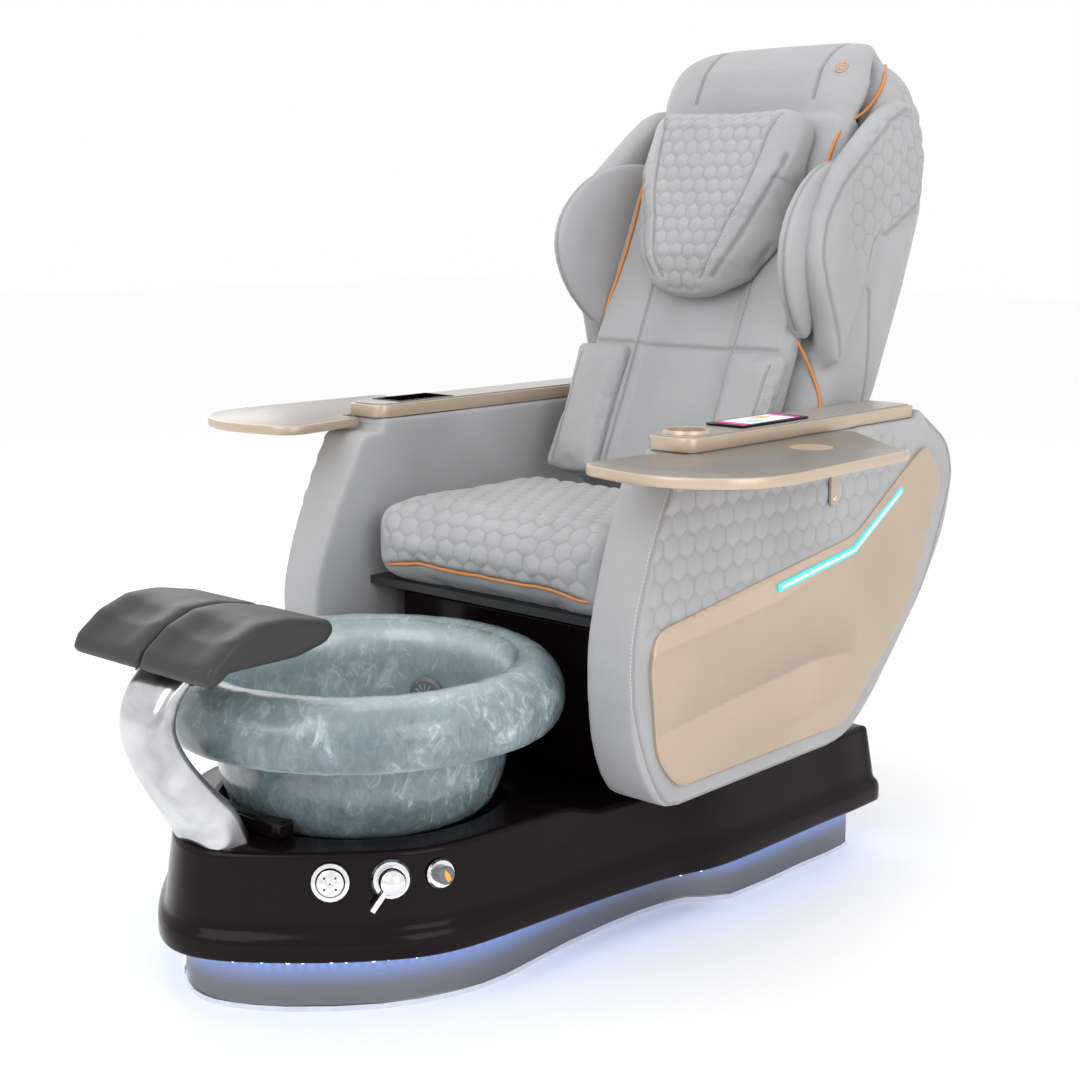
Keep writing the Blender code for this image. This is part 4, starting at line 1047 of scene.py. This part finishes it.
black_coat = powder_coat()
rail_steel = brushed_metal("ground_rail_steel", (0.55, 0.56, 0.58), 0.28, (900, 6, 6), 0.0001)
for node_name, metal in (("floor_pan", black_coat), ("footrest_plate", black_coat), ("seat_frame", black_coat),
                         ("recline_motor", black_coat), ("slide_motor", black_coat), ("back_frame", black_coat),
                         ("slide_rail_left", rail_steel), ("slide_rail_right", rail_steel),
                         ("footrest_pin", rail_steel), ("massage_roller_left", foam_skin),
                         ("massage_roller_right", foam_skin)):
    frame["nodes"][node_name].data.materials.clear()
    frame["nodes"][node_name].data.materials.append(metal)
fit_on(round_off(merged_copy("pedestal_box", "pedestal_box_moulded", gloss_black), 0.004, 3), "base",
       "gloss_black_shell", "pedestal_box")

# ---------------------------------------------------------------- Arms
# Each arm is a plywood body padded and covered in the seat's leather. Its outer face is
# quilted above the side panel, and a sewn seam follows its front and rear edges.

ARM_VOXEL = 0.0042
ARM_QUILT = [(-0.088, 0.520), (-0.068, 0.690), (-0.030, 0.783), (0.610, 0.783), (0.690, 0.745), (0.488, 0.612)]
ARM_SEAM = [(-0.040, 0.772), (-0.084, 0.690), (-0.104, 0.630), (-0.115, 0.540), (-0.112, 0.425), (-0.060, 0.292),
            (0.010, 0.228), (0.200, 0.222), (0.490, 0.226), (0.625, 0.335), (0.720, 0.445), (0.818, 0.640),
            (0.826, 0.695), (0.798, 0.750), (0.735, 0.795)]
PANEL_BACK = [(-0.063, 0.535), (0.495, 0.611), (0.725, 0.754), (0.787, 0.684), (0.675, 0.440), (0.478, 0.269),
              (-0.009, 0.268), (-0.061, 0.328), (-0.083, 0.484)]
arm_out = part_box("arm_body_left")[1].x


def inside_by(points, outline):
    """How far each (u, v) point lies inside a closed outline, negative when it is outside."""
    points = np.asarray(points)
    corners = np.array(outline)
    nearest = np.full(len(points), 1e9)
    crossings = np.zeros(len(points), bool)
    for a, b in zip(corners, np.roll(corners, -1, axis=0)):
        run = b - a
        share = np.clip(((points - a) @ run) / (run @ run), 0, 1)
        nearest = np.minimum(nearest, np.linalg.norm(points - a - share[:, None] * run, axis=1))
        spans = (a[1] > points[:, 1]) != (b[1] > points[:, 1])
        rise = b[1] - a[1] if abs(b[1] - a[1]) > 1e-12 else 1e-12
        crossings ^= spans & (points[:, 0] < a[0] + (points[:, 1] - a[1]) / rise * run[0])
    return np.where(crossings, nearest, -nearest)


for side, sign in SIDES:
    node_name = "arm_body_" + side
    arm = evened(merged_copy(node_name, node_name + "_upholstered", grey_leather), ARM_VOXEL, 14)
    at, facing = points_of(arm)
    narrowing = 0.16 * np.clip((0.02 - at[:, 1]) / 0.14, 0, 1) ** 1.5
    behind_panel = np.clip((inside_by(at[:, 1:], PANEL_BACK) - 0.014) / 0.012, 0, 1)
    at[:, 0] = sign * (arm_out - (arm_out - at[:, 0] * sign) * (1 - narrowing))
    at[:, 0] -= sign * 0.014 * behind_panel * np.clip(facing[:, 0] * sign, 0, 1)
    move_points(arm, at)
    at, facing = points_of(arm)
    outer = np.clip(facing[:, 0] * sign * 2 - 0.6, 0, 1)
    within = np.clip(inside_by(at[:, 1:], ARM_QUILT) / 0.012, 0, 1)
    quilted(arm, at[:, 1], at[:, 2], outer * within, depth=0.0044)
    seam_line = laid_on(arm, [(sign * (arm_out + 0.01), y, z) for y, z in flowing(ARM_SEAM, 5)])
    seamed(arm, seam_line, 0.0035, 0.0022)
    stitched("arm_stitches_" + side, arm, seam_line, "chair", beside=0.005 * sign)
    fit_on(arm, "chair", "grey_leather", node_name)

# ---------------------------------------------------------------- Side panels
# A moulded panel in champagne metallic lacquer is clipped into each arm's outer face. A bevel
# runs under its top edge, a long hollow crosses it low down, and a lit strip is let in above.

PANEL_GRID = 0.0045
PANEL_EDGE = 0.0035


def metallic_lacquer(name, colour, roughness, paints_form_shading=False):
    """Metallic lacquer: fine flakes under a satin clear coat; on a moulded panel, painted shade in its hollow and
    painted light on its ledge and bevel band.
    """
    made, tree, shader = shader_material(name, colour, roughness, 0.40)
    shader.inputs["Coat Weight"].default_value = 0.25
    shader.inputs["Coat Roughness"].default_value = 0.22
    flake = cells_on(tree, 1500.0)
    cloud = noise_on(tree, 3.0, 3.0)
    both = shader_node(tree, "ShaderNodeMath", {"operation": "MULTIPLY_ADD"}, i0=flake.outputs["Distance"], i1=0.35,
                       i2=cloud.outputs["Fac"])
    tone = toned(tree, shader, both.outputs[0], shaded(colour, 0.88), shaded(colour, 1.12), 0.35, 0.95)
    # Painted shade and light: the panel's tone attribute scales the colour darker in the hollow and lighter on the
    # ledge and bevel.
    if paints_form_shading:
        painted_shading_node = shader_node(tree, "ShaderNodeAttribute", {"attribute_name": "painted_form_shading"})
        shade = shader_node(tree, "ShaderNodeMapRange", Value=painted_shading_node.outputs["Fac"], i3=0.72, i4=1.16)
        scaled = shader_node(tree, "ShaderNodeVectorMath", {"operation": "SCALE"}, i0=tone.outputs[0],
                             i3=shade.outputs[0])
        tree.links.new(scaled.outputs[0], shader.inputs["Base Color"])
    roughened(tree, shader, flake.outputs["Distance"], roughness - 0.05, roughness + 0.10)
    bumped(tree, shader, 0.12, 0.0002, flake.outputs["Distance"])
    return made


champagne = metallic_lacquer("champagne_lacquer", (0.50, 0.395, 0.30), 0.34)
champagne_painted_shading = metallic_lacquer("champagne_lacquer_painted_shading", (0.50, 0.395, 0.30), 0.34, paints_form_shading=True)
PANEL_TOP = [(-0.061, 0.535), (0.495, 0.611), (0.725, 0.754)]
BEVEL_LINE = [(-0.075, 0.498), (0.253, 0.528), (0.475, 0.578), (0.715, 0.745)]
HOLLOW_TOP = [(-0.062, 0.370), (0.142, 0.386), (0.383, 0.402)]
HOLLOW_LOW = [(-0.062, 0.262), (0.089, 0.275), (0.229, 0.295), (0.490, 0.330)]
HOLLOW_DEPTH = 0.0185


def height_on(line, y):
    return np.interp(y, [p[0] for p in line], [p[1] for p in line])


def panel_depth(y, z):
    """How far the panel's face lies behind its proudest plane at (y, z)."""
    bevel_low, top = height_on(BEVEL_LINE, y), height_on(PANEL_TOP, y)
    band = np.clip((z - bevel_low) / np.maximum(top - bevel_low, 1e-4), 0, 1)
    crease, low = height_on(HOLLOW_TOP, y), height_on(HOLLOW_LOW, y)
    fade = np.clip((0.500 - y) / 0.105, 0, 1) ** 0.8 * (0.10 + 0.90 * np.clip((y + 0.080) / 0.48, 0, 1))
    lean_in = np.clip((bevel_low - 0.018 - z) / np.maximum(bevel_low - 0.018 - crease, 1e-4), 0, 1)
    ledge = np.clip((z - low) / np.maximum(crease - low, 1e-4), 0, 1)
    hollow = np.where(z > crease, lean_in ** 1.6, ledge) * HOLLOW_DEPTH * fade
    return 0.0055 * band + hollow * (z < bevel_low - 0.018)


def outline_of(node, x, reach=2e-4):
    """The outer (y, z) outline of a node's flat face at x, in order."""
    source = bmesh.new()
    source.from_mesh(frame["nodes"][node].data)
    bmesh.ops.remove_doubles(source, verts=source.verts, dist=1e-5)
    flat = {f for f in source.faces if all(abs(v.co.x - x) < reach for v in f.verts)}
    rim = [e for e in source.edges if sum(f in flat for f in e.link_faces) == 1]
    loops = []
    left = set(rim)
    while left:
        edge = left.pop()
        loop = [edge.verts[0], edge.verts[1]]
        while loop[-1] != loop[0]:
            step = next(e for e in loop[-1].link_edges if e in left)
            left.discard(step)
            loop.append(step.other_vert(loop[-1]))
        loops.append([(v.co.y, v.co.z) for v in loop[:-1]])
    source.free()
    return np.array(max(loops, key=lambda loop: np.ptp([p[0] for p in loop])))


def even_line(loop, pitch):
    """A closed outline resampled at an even pitch."""
    closed = np.vstack([loop, loop[:1]])
    along = np.concatenate([[0], np.cumsum(np.linalg.norm(np.diff(closed, axis=0), axis=1))])
    wanted = np.linspace(0, along[-1], max(8, int(along[-1] / pitch)), endpoint=False)
    return np.column_stack([np.interp(wanted, along, closed[:, k]) for k in (0, 1)])


def faced_panel(name, outline, x_back, x_face, depth, material):
    """A moulded panel: a face of small triangles with a rounded rim, closed behind."""
    line = even_line(outline, PANEL_GRID)
    low, high = line.min(axis=0), line.max(axis=0)
    grid = [(y, z) for i, z in enumerate(np.arange(low[1], high[1], PANEL_GRID * 0.87))
            for y in np.arange(low[0] + (i % 2) * PANEL_GRID / 2, high[0], PANEL_GRID)]
    grid = np.array(grid)
    grid = grid[inside_by(grid, line) > PANEL_GRID * 0.7]
    flat = np.vstack([line, grid])
    count = len(line)
    made = delaunay_2d_cdt([Vector(p) for p in flat], [], [list(range(count))], 1, 1e-7)
    corners = np.array(made[0])
    depth_here = depth(corners[:, 0], corners[:, 1])
    edge = np.clip(1 - inside_by(corners, line) / PANEL_EDGE, 0, 1)
    rounding = PANEL_EDGE * (1 - np.sqrt(np.clip(1 - edge ** 2, 0, 1))) * 0.8
    sign = 1 if x_face > x_back else -1
    x_inner = x_face - sign * (depth_here.max() + 0.0025)
    points = [(x_face - sign * (d + r), y, z) for (y, z), d, r in zip(corners, depth_here, rounding)]
    faces = [tuple(f) for f in made[2]]
    used = {}
    for face in faces:
        for a, b in zip(face, face[1:] + face[:1]):
            used[(a, b)] = True
    rim = [pair for pair in used if pair[::-1] not in used]
    behind = {}
    for a, b in rim:
        for i in (a, b):
            if i not in behind:
                behind[i] = len(points)
                points.append((x_inner, points[i][1], points[i][2]))
    for a, b in rim:
        faces.append((b, a, behind[a], behind[b]))
    hub = len(points)
    middle = line.mean(axis=0)
    points.append((x_inner, middle[0], middle[1]))
    faces += [(behind[b], behind[a], hub) for a, b in rim]
    # Painted shade and light for the lacquer: darker in the hollow above the crease, lighter on the ledge below it and
    # on the bevel band.
    share = np.clip(depth_here / HOLLOW_DEPTH, 0, 1) ** 0.8
    below = np.clip((height_on(HOLLOW_TOP, corners[:, 0]) - corners[:, 1]) / 0.004, 0, 1)
    lit = np.clip((corners[:, 1] - height_on(BEVEL_LINE, corners[:, 0])) / 0.005, 0, 1)
    painted_panel_shading = 0.5 + share * (below * 0.85 - 0.5)
    painted_panel_shading += (0.90 - painted_panel_shading) * lit
    made = piece_of(name, points, faces, material, 28)
    tone = made.data.attributes.new("painted_form_shading", "FLOAT", "POINT")
    tone.data.foreach_set("value", np.append(painted_panel_shading, np.full(len(points) - len(corners), 0.5)).astype(np.float32))
    return made


light_cyan = lit_material("cyan_light_bar", (0.02, 0.20, 0.22), 0.5, (0.09, 0.68, 0.74), 1.0)
core_white = lit_material("white_light_core", (0.9, 1.0, 1.0), 0.3, (0.85, 1.0, 1.0), 3.0)
LIGHT_LINE = [(0.262, 0.5535), (0.483, 0.585), (0.631, 0.671)]
for side, sign in SIDES:
    node_name = "side_panel_" + side
    low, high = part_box(node_name)
    x_back, x_face = (low.x, high.x) if sign > 0 else (high.x, low.x)
    panel = faced_panel(node_name + "_moulded", outline_of(node_name, x_back), x_back, x_face, panel_depth,
                         champagne_painted_shading)
    fit_on(panel, "chair", "champagne_metal", node_name)
    strip = round_off(merged_copy("side_light_" + side, "side_light_bar_" + side, light_cyan, 50), 0.0008, 2, 50)
    at, facing = points_of(strip)
    move_points(strip, at + facing * np.array([0.0, 0.0028, 0.0028]))
    fit_on(strip, "chair", "cyan_light", "side_light_" + side)
    strip_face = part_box("side_light_" + side)[1 if sign > 0 else 0].x
    corded("side_light_core_" + side, [(strip_face, y, z) for y, z in LIGHT_LINE], 0.0016, core_white, "chair",
           "cyan_light")

# ---------------------------------------------------------------- Arm caps and trays
# A cast aluminium cap in champagne lacquer is bolted to each arm, with a soft grey inlay. It
# carries the cup holder, touch screen and phone pocket; the trays swing out on brackets.

taupe = metallic_lacquer("satin_taupe_top", (0.25, 0.222, 0.190), 0.34)
for side in ("left", "right"):
    clad("arm_cap_" + side, "arm_cap_lacquered_" + side, champagne, "chair", "champagne_metal", 38)
    tray = merged_copy("tray_" + side, "tray_lacquered_" + side, champagne, 38)
    tray.data.materials.append(taupe)
    for face in tray.data.polygons:
        face.material_index = int(face.normal.z > 0.95)
    fit_on(tray, "tray_swing_" + side, "champagne_metal", "tray_" + side)
    clad("tray_bracket_" + side, "tray_bracket_lacquered_" + side, champagne, "chair", "champagne_metal", 38)
SCREW_PROUD = 0.0045
SCREW_HEAD = [(0.0001, 0.0006), (0.0022, 0.0006), (0.0023, 0.0020), (0.0040, 0.0017), (0.0048, 0.0), (0.0001, -0.0005)]
rose_champagne = metallic_lacquer("rose_champagne_disc", (0.56, 0.42, 0.29), 0.40)
cap_grey = metallic_lacquer("satin_grey_inlay", (0.42, 0.395, 0.36), 0.36)
for side in ("left", "right"):
    clad("tray_disc_" + side, "tray_disc_inlaid_" + side, rose_champagne, "tray_swing_" + side, "champagne_metal", 38)
    clad("arm_top_" + side, "arm_top_inlay_" + side, cap_grey, "chair", "grey_plastic", 38)
    bracket_low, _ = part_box("tray_bracket_" + side)
    outward = Vector((1 if side == "left" else -1, 0, 0))
    screw_x = outward.x * (arm_out + SCREW_PROUD)
    screw_spot = Vector((screw_x, bracket_low.y + 0.018, bracket_low.z + 0.013))
    fit_on(turned_on("bracket_screw_" + side, SCREW_HEAD, 24, plated_chrome, screw_spot, outward), "chair")

clad("cup_holder", "cup_holder_lacquered", champagne, "chair", "champagne_metal", 45)
clad("phone_pocket", "phone_pocket_moulded", gloss_black, "chair", "gloss_black_shell", 38)
clad("touch_screen", "touch_screen_glass", gloss_black, "chair", "gloss_black_shell", 38)
screen_low, screen_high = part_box("touch_screen")
# Each tile's near and far corner as shares of the screen, its colour, and how proud it stands.
SCREEN_TILES = [((0.10, 0.08), (0.90, 0.92), (0.78, 0.82, 0.86), 0.0003),
                ((0.10, 0.08), (0.90, 0.16), (0.75, 0.05, 0.28), 0.0006),
                ((0.10, 0.84), (0.90, 0.92), (0.62, 0.04, 0.30), 0.0006),
                ((0.18, 0.24), (0.46, 0.44), (0.95, 0.95, 0.96), 0.0006),
                ((0.54, 0.24), (0.82, 0.44), (0.30, 0.62, 0.72), 0.0006),
                ((0.18, 0.52), (0.46, 0.72), (0.92, 0.40, 0.12), 0.0006),
                ((0.54, 0.52), (0.82, 0.72), (0.95, 0.95, 0.96), 0.0006)]
for k, (low_share, high_share, colour, lift) in enumerate(SCREEN_TILES):
    glowing = lit_material("screen_tile_%d" % (k + 1), colour, 0.2, colour, 0.35)
    wide, deep = screen_high.x - screen_low.x, screen_high.y - screen_low.y
    (left, near), (right, far) = low_share, high_share
    corners = [(screen_low.x + wide * u, screen_low.y + deep * v) for u, v in
               ((left, near), (right, near), (right, far), (left, far))]
    points = [(x, y, screen_high.z + h) for h in (-0.0002, lift) for x, y in corners]
    faces = [(0, 3, 2, 1), (4, 5, 6, 7)] + [(i, (i + 1) % 4, 4 + (i + 1) % 4, 4 + i) for i in range(4)]
    fit_on(piece_of("screen_tile_%d" % (k + 1), points, faces, glowing, 30), "chair")

# ---------------------------------------------------------------- Back shell
# The back is a moulded shell padded all round in the same leather. Its sides run forward into
# shoulder bolsters, with honeycomb quilting high up on each side and seams down the rear edge.

SHELL_VOXEL = 0.0062
BACK_FOOT = Vector((0.0, 0.425, 0.655))
BACK_LEAN = math.radians(24)
UP_BACK = Vector((0, math.sin(BACK_LEAN), math.cos(BACK_LEAN)))
OUT_FRONT = Vector((0, -math.cos(BACK_LEAN), math.sin(BACK_LEAN)))


def on_back(x, v, n):
    """The world place of a point given across, up and out of the leaning back."""
    return BACK_FOOT + Vector((x, 0, 0)) + UP_BACK * v + OUT_FRONT * n


def back_places(at):
    """Across, up and out of the leaning back for an array of points."""
    away = at - np.array(BACK_FOOT)
    return at[:, 0], away @ np.array(UP_BACK), away @ np.array(OUT_FRONT)


def joined(name, *pieces):
    """Several pieces as one mesh object."""
    whole = bmesh.new()
    for piece in pieces:
        whole.from_mesh(piece.data)
    mesh = bpy.data.meshes.new(name)
    whole.to_mesh(mesh)
    whole.free()
    mesh.materials.append(pieces[0].data.materials[0])
    for piece in pieces:
        bpy.data.objects.remove(piece)
    made = bpy.data.objects.new(name, mesh)
    scene.collection.objects.link(made)
    return made


def slab(name, outline, low, high, material):
    """A solid slab with a (v, n) outline, from one x to another on the leaning back."""
    count = len(outline)
    points = [on_back(x, v, n) for x in (low, high) for v, n in outline]
    faces = [tuple(range(count))[::-1], tuple(range(count, 2 * count))]
    faces += [(i, (i + 1) % count, count + (i + 1) % count, count + i) for i in range(count)]
    return piece_of(name, points, faces, material, 180)


BOLSTER = [(0.280, -0.070), (0.345, -0.010), (0.395, 0.055), (0.437, 0.092), (0.504, 0.110), (0.577, 0.092),
           (0.651, 0.052), (0.720, 0.014), (0.770, -0.018), (0.806, -0.055), (0.815, -0.100)]
bolsters = []
for inner, outer, shrink in ((0.244, 0.304, 0.022), (0.250, 0.298, 0.010), (0.260, 0.288, 0.0)):
    outline = [(v, n - shrink if n > -0.06 else n) for v, n in BOLSTER]
    for side, sign in SIDES:
        bolsters.append(slab("bolster_" + side, outline, *sorted((sign * inner, sign * outer)), grey_leather))
shell = joined("back_shell_upholstered", merged_copy("back_shell", "shell_blank", grey_leather), *bolsters)
evened(shell, SHELL_VOXEL, 30)
refined(shell)
at, facing = points_of(shell)
across, up, out = back_places(at)
sideways = np.clip(facing[:, 0] * np.sign(across) * 2.2 - 0.8, 0, 1)
SHELL_QUILT = [(0.440, -0.040), (0.510, 0.040), (0.600, 0.060), (0.730, 0.030), (0.850, -0.060), (0.900, -0.150),
               (0.800, -0.240), (0.620, -0.215), (0.540, -0.110)]
BOLSTER_SEAM = [(0.800, -0.062), (0.765, -0.022), (0.715, 0.006), (0.651, 0.042), (0.577, 0.078), (0.504, 0.092),
                (0.437, 0.075), (0.360, 0.0), (0.300, -0.060)]
SIDE_SEAM = [(0.680, -0.215), (0.600, -0.140), (0.540, -0.085), (0.490, -0.085), (0.400, -0.140), (0.295, -0.190),
             (0.150, -0.225)]
within = np.clip(inside_by(np.column_stack([up, out]), SHELL_QUILT) / 0.030, 0, 1)
quilted(shell, out, up, sideways * within, depth=0.0036)
for sign in (1, -1):
    for seam in (BOLSTER_SEAM, SIDE_SEAM):
        line = laid_on(shell, [on_back(sign * 0.33, v, n) for v, n in flowing(seam, 6)])
        seamed(shell, line, 0.0045, 0.0025)
for line in ([(x, 0.560) for x in np.linspace(-0.26, 0.26, 30)], [(0.0, v) for v in np.linspace(0.03, 0.88, 40)]):
    seamed(shell, laid_on(shell, [on_back(x, v, -0.34) for x, v in line]), 0.0045, 0.0028)
fit_on(shell, "backrest", "grey_leather", "back_shell")

# ---------------------------------------------------------------- Back panel and head cover
# The sitter leans on a long foam panel, sewn in three columns over the massage rollers. It
# runs on over the top as a padded head cover, and a small plain copper ring decorates it.

COLUMN_HALF = 0.113
COVER_LINE = [(0.690, -0.026, 0.215), (0.757, -0.024, 0.232), (0.820, -0.023, 0.240), (0.875, -0.030, 0.226),
              (0.912, -0.058, 0.204), (0.930, -0.100, 0.180), (0.926, -0.150, 0.170), (0.900, -0.185, 0.185),
              (0.850, -0.212, 0.205)]
cover_path = flowing(COVER_LINE, 4)
cover_rings = []
for i, (v, n, half) in enumerate(cover_path):
    ahead = cover_path[min(i + 1, len(cover_path) - 1)] - cover_path[max(i - 1, 0)]
    along = Vector((ahead[0], ahead[1])).normalized()
    lift = Vector((-along.y, along.x))
    if lift.y < 0 and v < 0.9:
        lift = -lift
    thick = 0.010 + 0.009 * min(1.0, i / 6)
    ring = []
    for k in range(40):
        a = 2 * math.pi * k / 40
        c, s = math.cos(a), math.sin(a)
        x = half * math.copysign(abs(c) ** 0.35, c)
        deep = thick * math.copysign(abs(s) ** 0.7, s)
        ring.append(on_back(x, v + lift.x * deep, n + lift.y * deep))
    cover_rings.append(ring)
cover = piece_of("head_cover_blank", *stacked(cover_rings), grey_leather, 180)
panel = joined("back_panel_sewn", merged_copy("back_pad", "panel_blank", grey_leather), cover)
evened(panel, 0.0055, 9)
swelled(panel, 4.0, 0.009)
refined(panel)
at, facing = points_of(panel)
across, up, out = back_places(at)
fronted = np.clip(facing @ np.array(OUT_FRONT) * 2 - 0.3, 0, 1) * np.clip((0.76 - up) / 0.03, 0, 1)
sink = 0.009 * np.clip((COLUMN_HALF - np.abs(across)) / 0.020, 0, 1) * fronted
move_points(panel, at - np.array(OUT_FRONT) * sink[:, None])
for side, sign in SIDES:
    column_line = laid_on(panel, [on_back(sign * COLUMN_HALF, v, 0.03) for v in np.linspace(0.02, 0.74, 40)])
    seamed(panel, column_line, 0.0042, 0.0042)
    stitched("column_stitches_" + side, panel, column_line, "backrest", beside=0.005 * sign)
    sides = [on_back(sign * (0.135 + 0.10 * abs(n)), v + 0.03, n + 0.035) for v, n, _ in cover_path[4:-6]]
    side_line = laid_on(panel, sides)
    seamed(panel, side_line, 0.0050, 0.0045)
    stitched("cover_stitches_" + side, panel, side_line, "backrest", beside=0.0055 * sign)
waist = laid_on(panel, [on_back(x, 0.285, 0.03) for x in np.linspace(-0.22, 0.22, 30)])
seamed(panel, waist, 0.0045, 0.0018)
fit_on(panel, "backrest", "grey_leather", "back_pad", "head_cover")

copper_metal = brushed_metal("copper_ring_metal", (0.72, 0.36, 0.20), 0.28, (200, 200, 200), 0.0001)
_, ring_spot, ring_facing, _ = panel.closest_point_on_mesh(on_back(0.186, 0.868, 0.05))
for k, reach in enumerate((0.0125, 0.0062)):
    hoop = [(reach + 0.0011 * math.cos(a), 0.0011 * math.sin(a)) for a in np.linspace(0, 2 * math.pi, 12, False)]
    fit_on(turned_on("copper_ring_%d" % (k + 1), hoop, 40, copper_metal, ring_spot, ring_facing, 180), "backrest")

# ---------------------------------------------------------------- Back piping and lumbar pads
# Copper piping closes the panel's edges against the shell from the waist over the top. Low
# down, two raised foam pads are sewn on beside the middle column.

PIPING = [(0.170, 0.960, -0.120), (0.200, 0.925, -0.090), (0.226, 0.885, -0.060), (0.237, 0.840, -0.030),
          (0.228, 0.780, -0.005), (0.216, 0.730, 0.0), (0.212, 0.663, 0.0), (0.205, 0.580, 0.0), (0.202, 0.500, 0.0),
          (0.205, 0.427, 0.0), (0.214, 0.360, 0.0), (0.230, 0.312, 0.0), (0.252, 0.268, -0.010),
          (0.272, 0.220, -0.030), (0.280, 0.150, -0.035), (0.276, 0.050, -0.045)]
SIGHT_START = 0.12  # how far in front of the back each search for its surface starts
PIPING_SUNK = 0.0026
for side, sign in SIDES:
    line = []
    for x, v, n in flowing(PIPING, 5):
        sight = (OUT_FRONT + UP_BACK * max(0.0, (v - 0.82) * 12)).normalized()
        start = on_back(sign * x, v, n) + sight * SIGHT_START
        hits = [host.ray_cast(start, -sight, distance=0.20) for host in (panel, shell)]
        line.append((start, sight, min([(start - hit[1]).length for hit in hits if hit[0]] or [SIGHT_START])))
    reach = eased([sunk for _, _, sunk in line], 10) - PIPING_SUNK
    spots = eased([np.array(start - sight * sunk) for (start, sight, _), sunk in zip(line, reach)], 3)
    corded("back_piping_" + side, spots, 0.0034, copper_piping, "backrest")

    node_name = "lumbar_pad_" + side
    pad = evened(merged_copy(node_name, node_name + "_sewn", grey_leather), 0.0042, 14)
    swelled(pad, 4.0, 0.008)
    refined(pad)
    edge = [on_back(sign * (0.226 + 0.006 * math.sin(v * 11)), v, 0.06) for v in np.linspace(0.020, 0.250, 24)]
    edge_line = eased(laid_on(pad, edge), 8)
    seamed(pad, edge_line, 0.0038, 0.0028)
    stitched("lumbar_stitches_" + side, pad, edge_line, "backrest", beside=0.0045 * sign)
    fit_on(pad, "backrest", "grey_leather", node_name)

# ---------------------------------------------------------------- Head pillow
# A wedge-shaped pillow hangs on the front of the back from a strap over the top. Its middle is
# quilted, with a plain band on each side of it and a slanting cheek beyond the next seam.

pillow = merged_copy("head_pillow", "head_pillow_sewn", grey_leather)
evened(pillow, 0.005, 6)


def seam_reach(v):
    """How far out the quilted middle runs at a height up the back."""
    return np.interp(v, [0.355, 0.440, 0.540, 0.710, 0.760], [0.046, 0.074, 0.104, 0.134, 0.140])


def cheek_reach(v):
    """How far out the second seam runs."""
    return np.interp(v, [0.370, 0.475, 0.540, 0.605, 0.720], [0.078, 0.122, 0.147, 0.176, 0.190])


at, facing = points_of(pillow)
across, up, out = back_places(at)
now_half = np.interp(up, [0.368, 0.440, 0.590, 0.740], [0.045, 0.115, 0.172, 0.150])
new_half = np.interp(up, [0.368, 0.410, 0.440, 0.490, 0.615, 0.740], [0.062, 0.122, 0.146, 0.172, 0.186, 0.176])
at[:, 0] *= new_half / now_half
across = at[:, 0]
band = np.clip((np.abs(across) - seam_reach(up)) / 0.040, 0, 1) * 0.014
cheek = np.clip((np.abs(across) - cheek_reach(up) + 0.004) / 0.040, 0, 1) * 0.045
chin = np.clip((0.43 - up) / 0.07, 0, 1) * 0.30
slant = np.clip(out / 0.084, 0, 1) * (band + cheek) + chin * np.clip(out, 0, 1)
move_points(pillow, at - np.array(OUT_FRONT) * slant[:, None])
pillow.modifiers.new("ironed", "SMOOTH").iterations = 6
set_shape(pillow)
swelled(pillow, 4.0, 0.009)
refined(pillow)
at, facing = points_of(pillow)
across, up, out = back_places(at)
middle = np.clip((seam_reach(up) - np.abs(across)) / 0.012, 0, 1)
fronted = np.clip(facing @ np.array(OUT_FRONT) * 3 - 0.6, 0, 1)
quilted(pillow, across, up, middle * fronted, depth=0.0040, size=0.030)
for side, sign in SIDES:
    line = [on_back(sign * seam_reach(v), v, 0.13) for v in np.linspace(0.365, 0.740, 30)]
    pillow_line = eased(laid_on(pillow, line), 8)
    seamed(pillow, pillow_line, 0.0045, 0.0042)
    stitched("pillow_stitches_" + side, pillow, pillow_line, "backrest", beside=0.0050 * sign)
    line = [on_back(sign * cheek_reach(v), v, 0.09) for v in np.linspace(0.380, 0.640, 30)]
    seamed(pillow, eased(laid_on(pillow, line), 10), 0.0055, 0.0050)
fit_on(pillow, "backrest", "grey_leather", "head_pillow")

# ---------------------------------------------------------------- Shoulder wings
# In front of each bolster hangs a leaf-shaped wing, two padded skins sewn together round the
# edge, that holds the air bags for the shoulders.

WING = [(0.312, -0.040), (0.328, 0.028), (0.362, 0.096), (0.420, 0.146), (0.488, 0.156), (0.566, 0.126),
        (0.620, 0.076), (0.656, 0.014), (0.668, -0.026), (0.600, -0.046), (0.450, -0.050)]
for side, sign in SIDES:
    rounded_wing = cut_corners(WING, 2)
    low, high = sorted((sign * 0.222, sign * 0.246))
    wing = slab("shoulder_wing_sewn_" + side, [tuple(p) for p in rounded_wing], low, high, grey_leather)
    evened(wing, 0.0045, 5)
    at, facing = points_of(wing)
    _, up, out = back_places(at)
    crown = np.clip(inside_by(np.column_stack([up, out]), rounded_wing) / 0.055, 0, 1)
    move_points(wing, at + facing * (0.009 * np.sin(crown * math.pi / 2) * np.abs(facing[:, 0]))[:, None])
    refined(wing)
    edge = [on_back(sign * 0.234, v + (v - 0.49) * 0.10, n + 0.03) for v, n in rounded_wing if n > -0.02]
    edge_line = laid_on(wing, edge)
    seamed(wing, edge_line, 0.0030, 0.0022)
    turn = Matrix.Translation(on_back(sign * 0.234, 0, -0.03)) @ Matrix.Rotation(math.radians(10) * sign, 4, UP_BACK)
    turn = turn @ Matrix.Translation(-on_back(sign * 0.234, 0, -0.03))
    wing.data.transform(turn)
    fit_on(wing, "backrest", "grey_leather", "shoulder_wing_" + side)
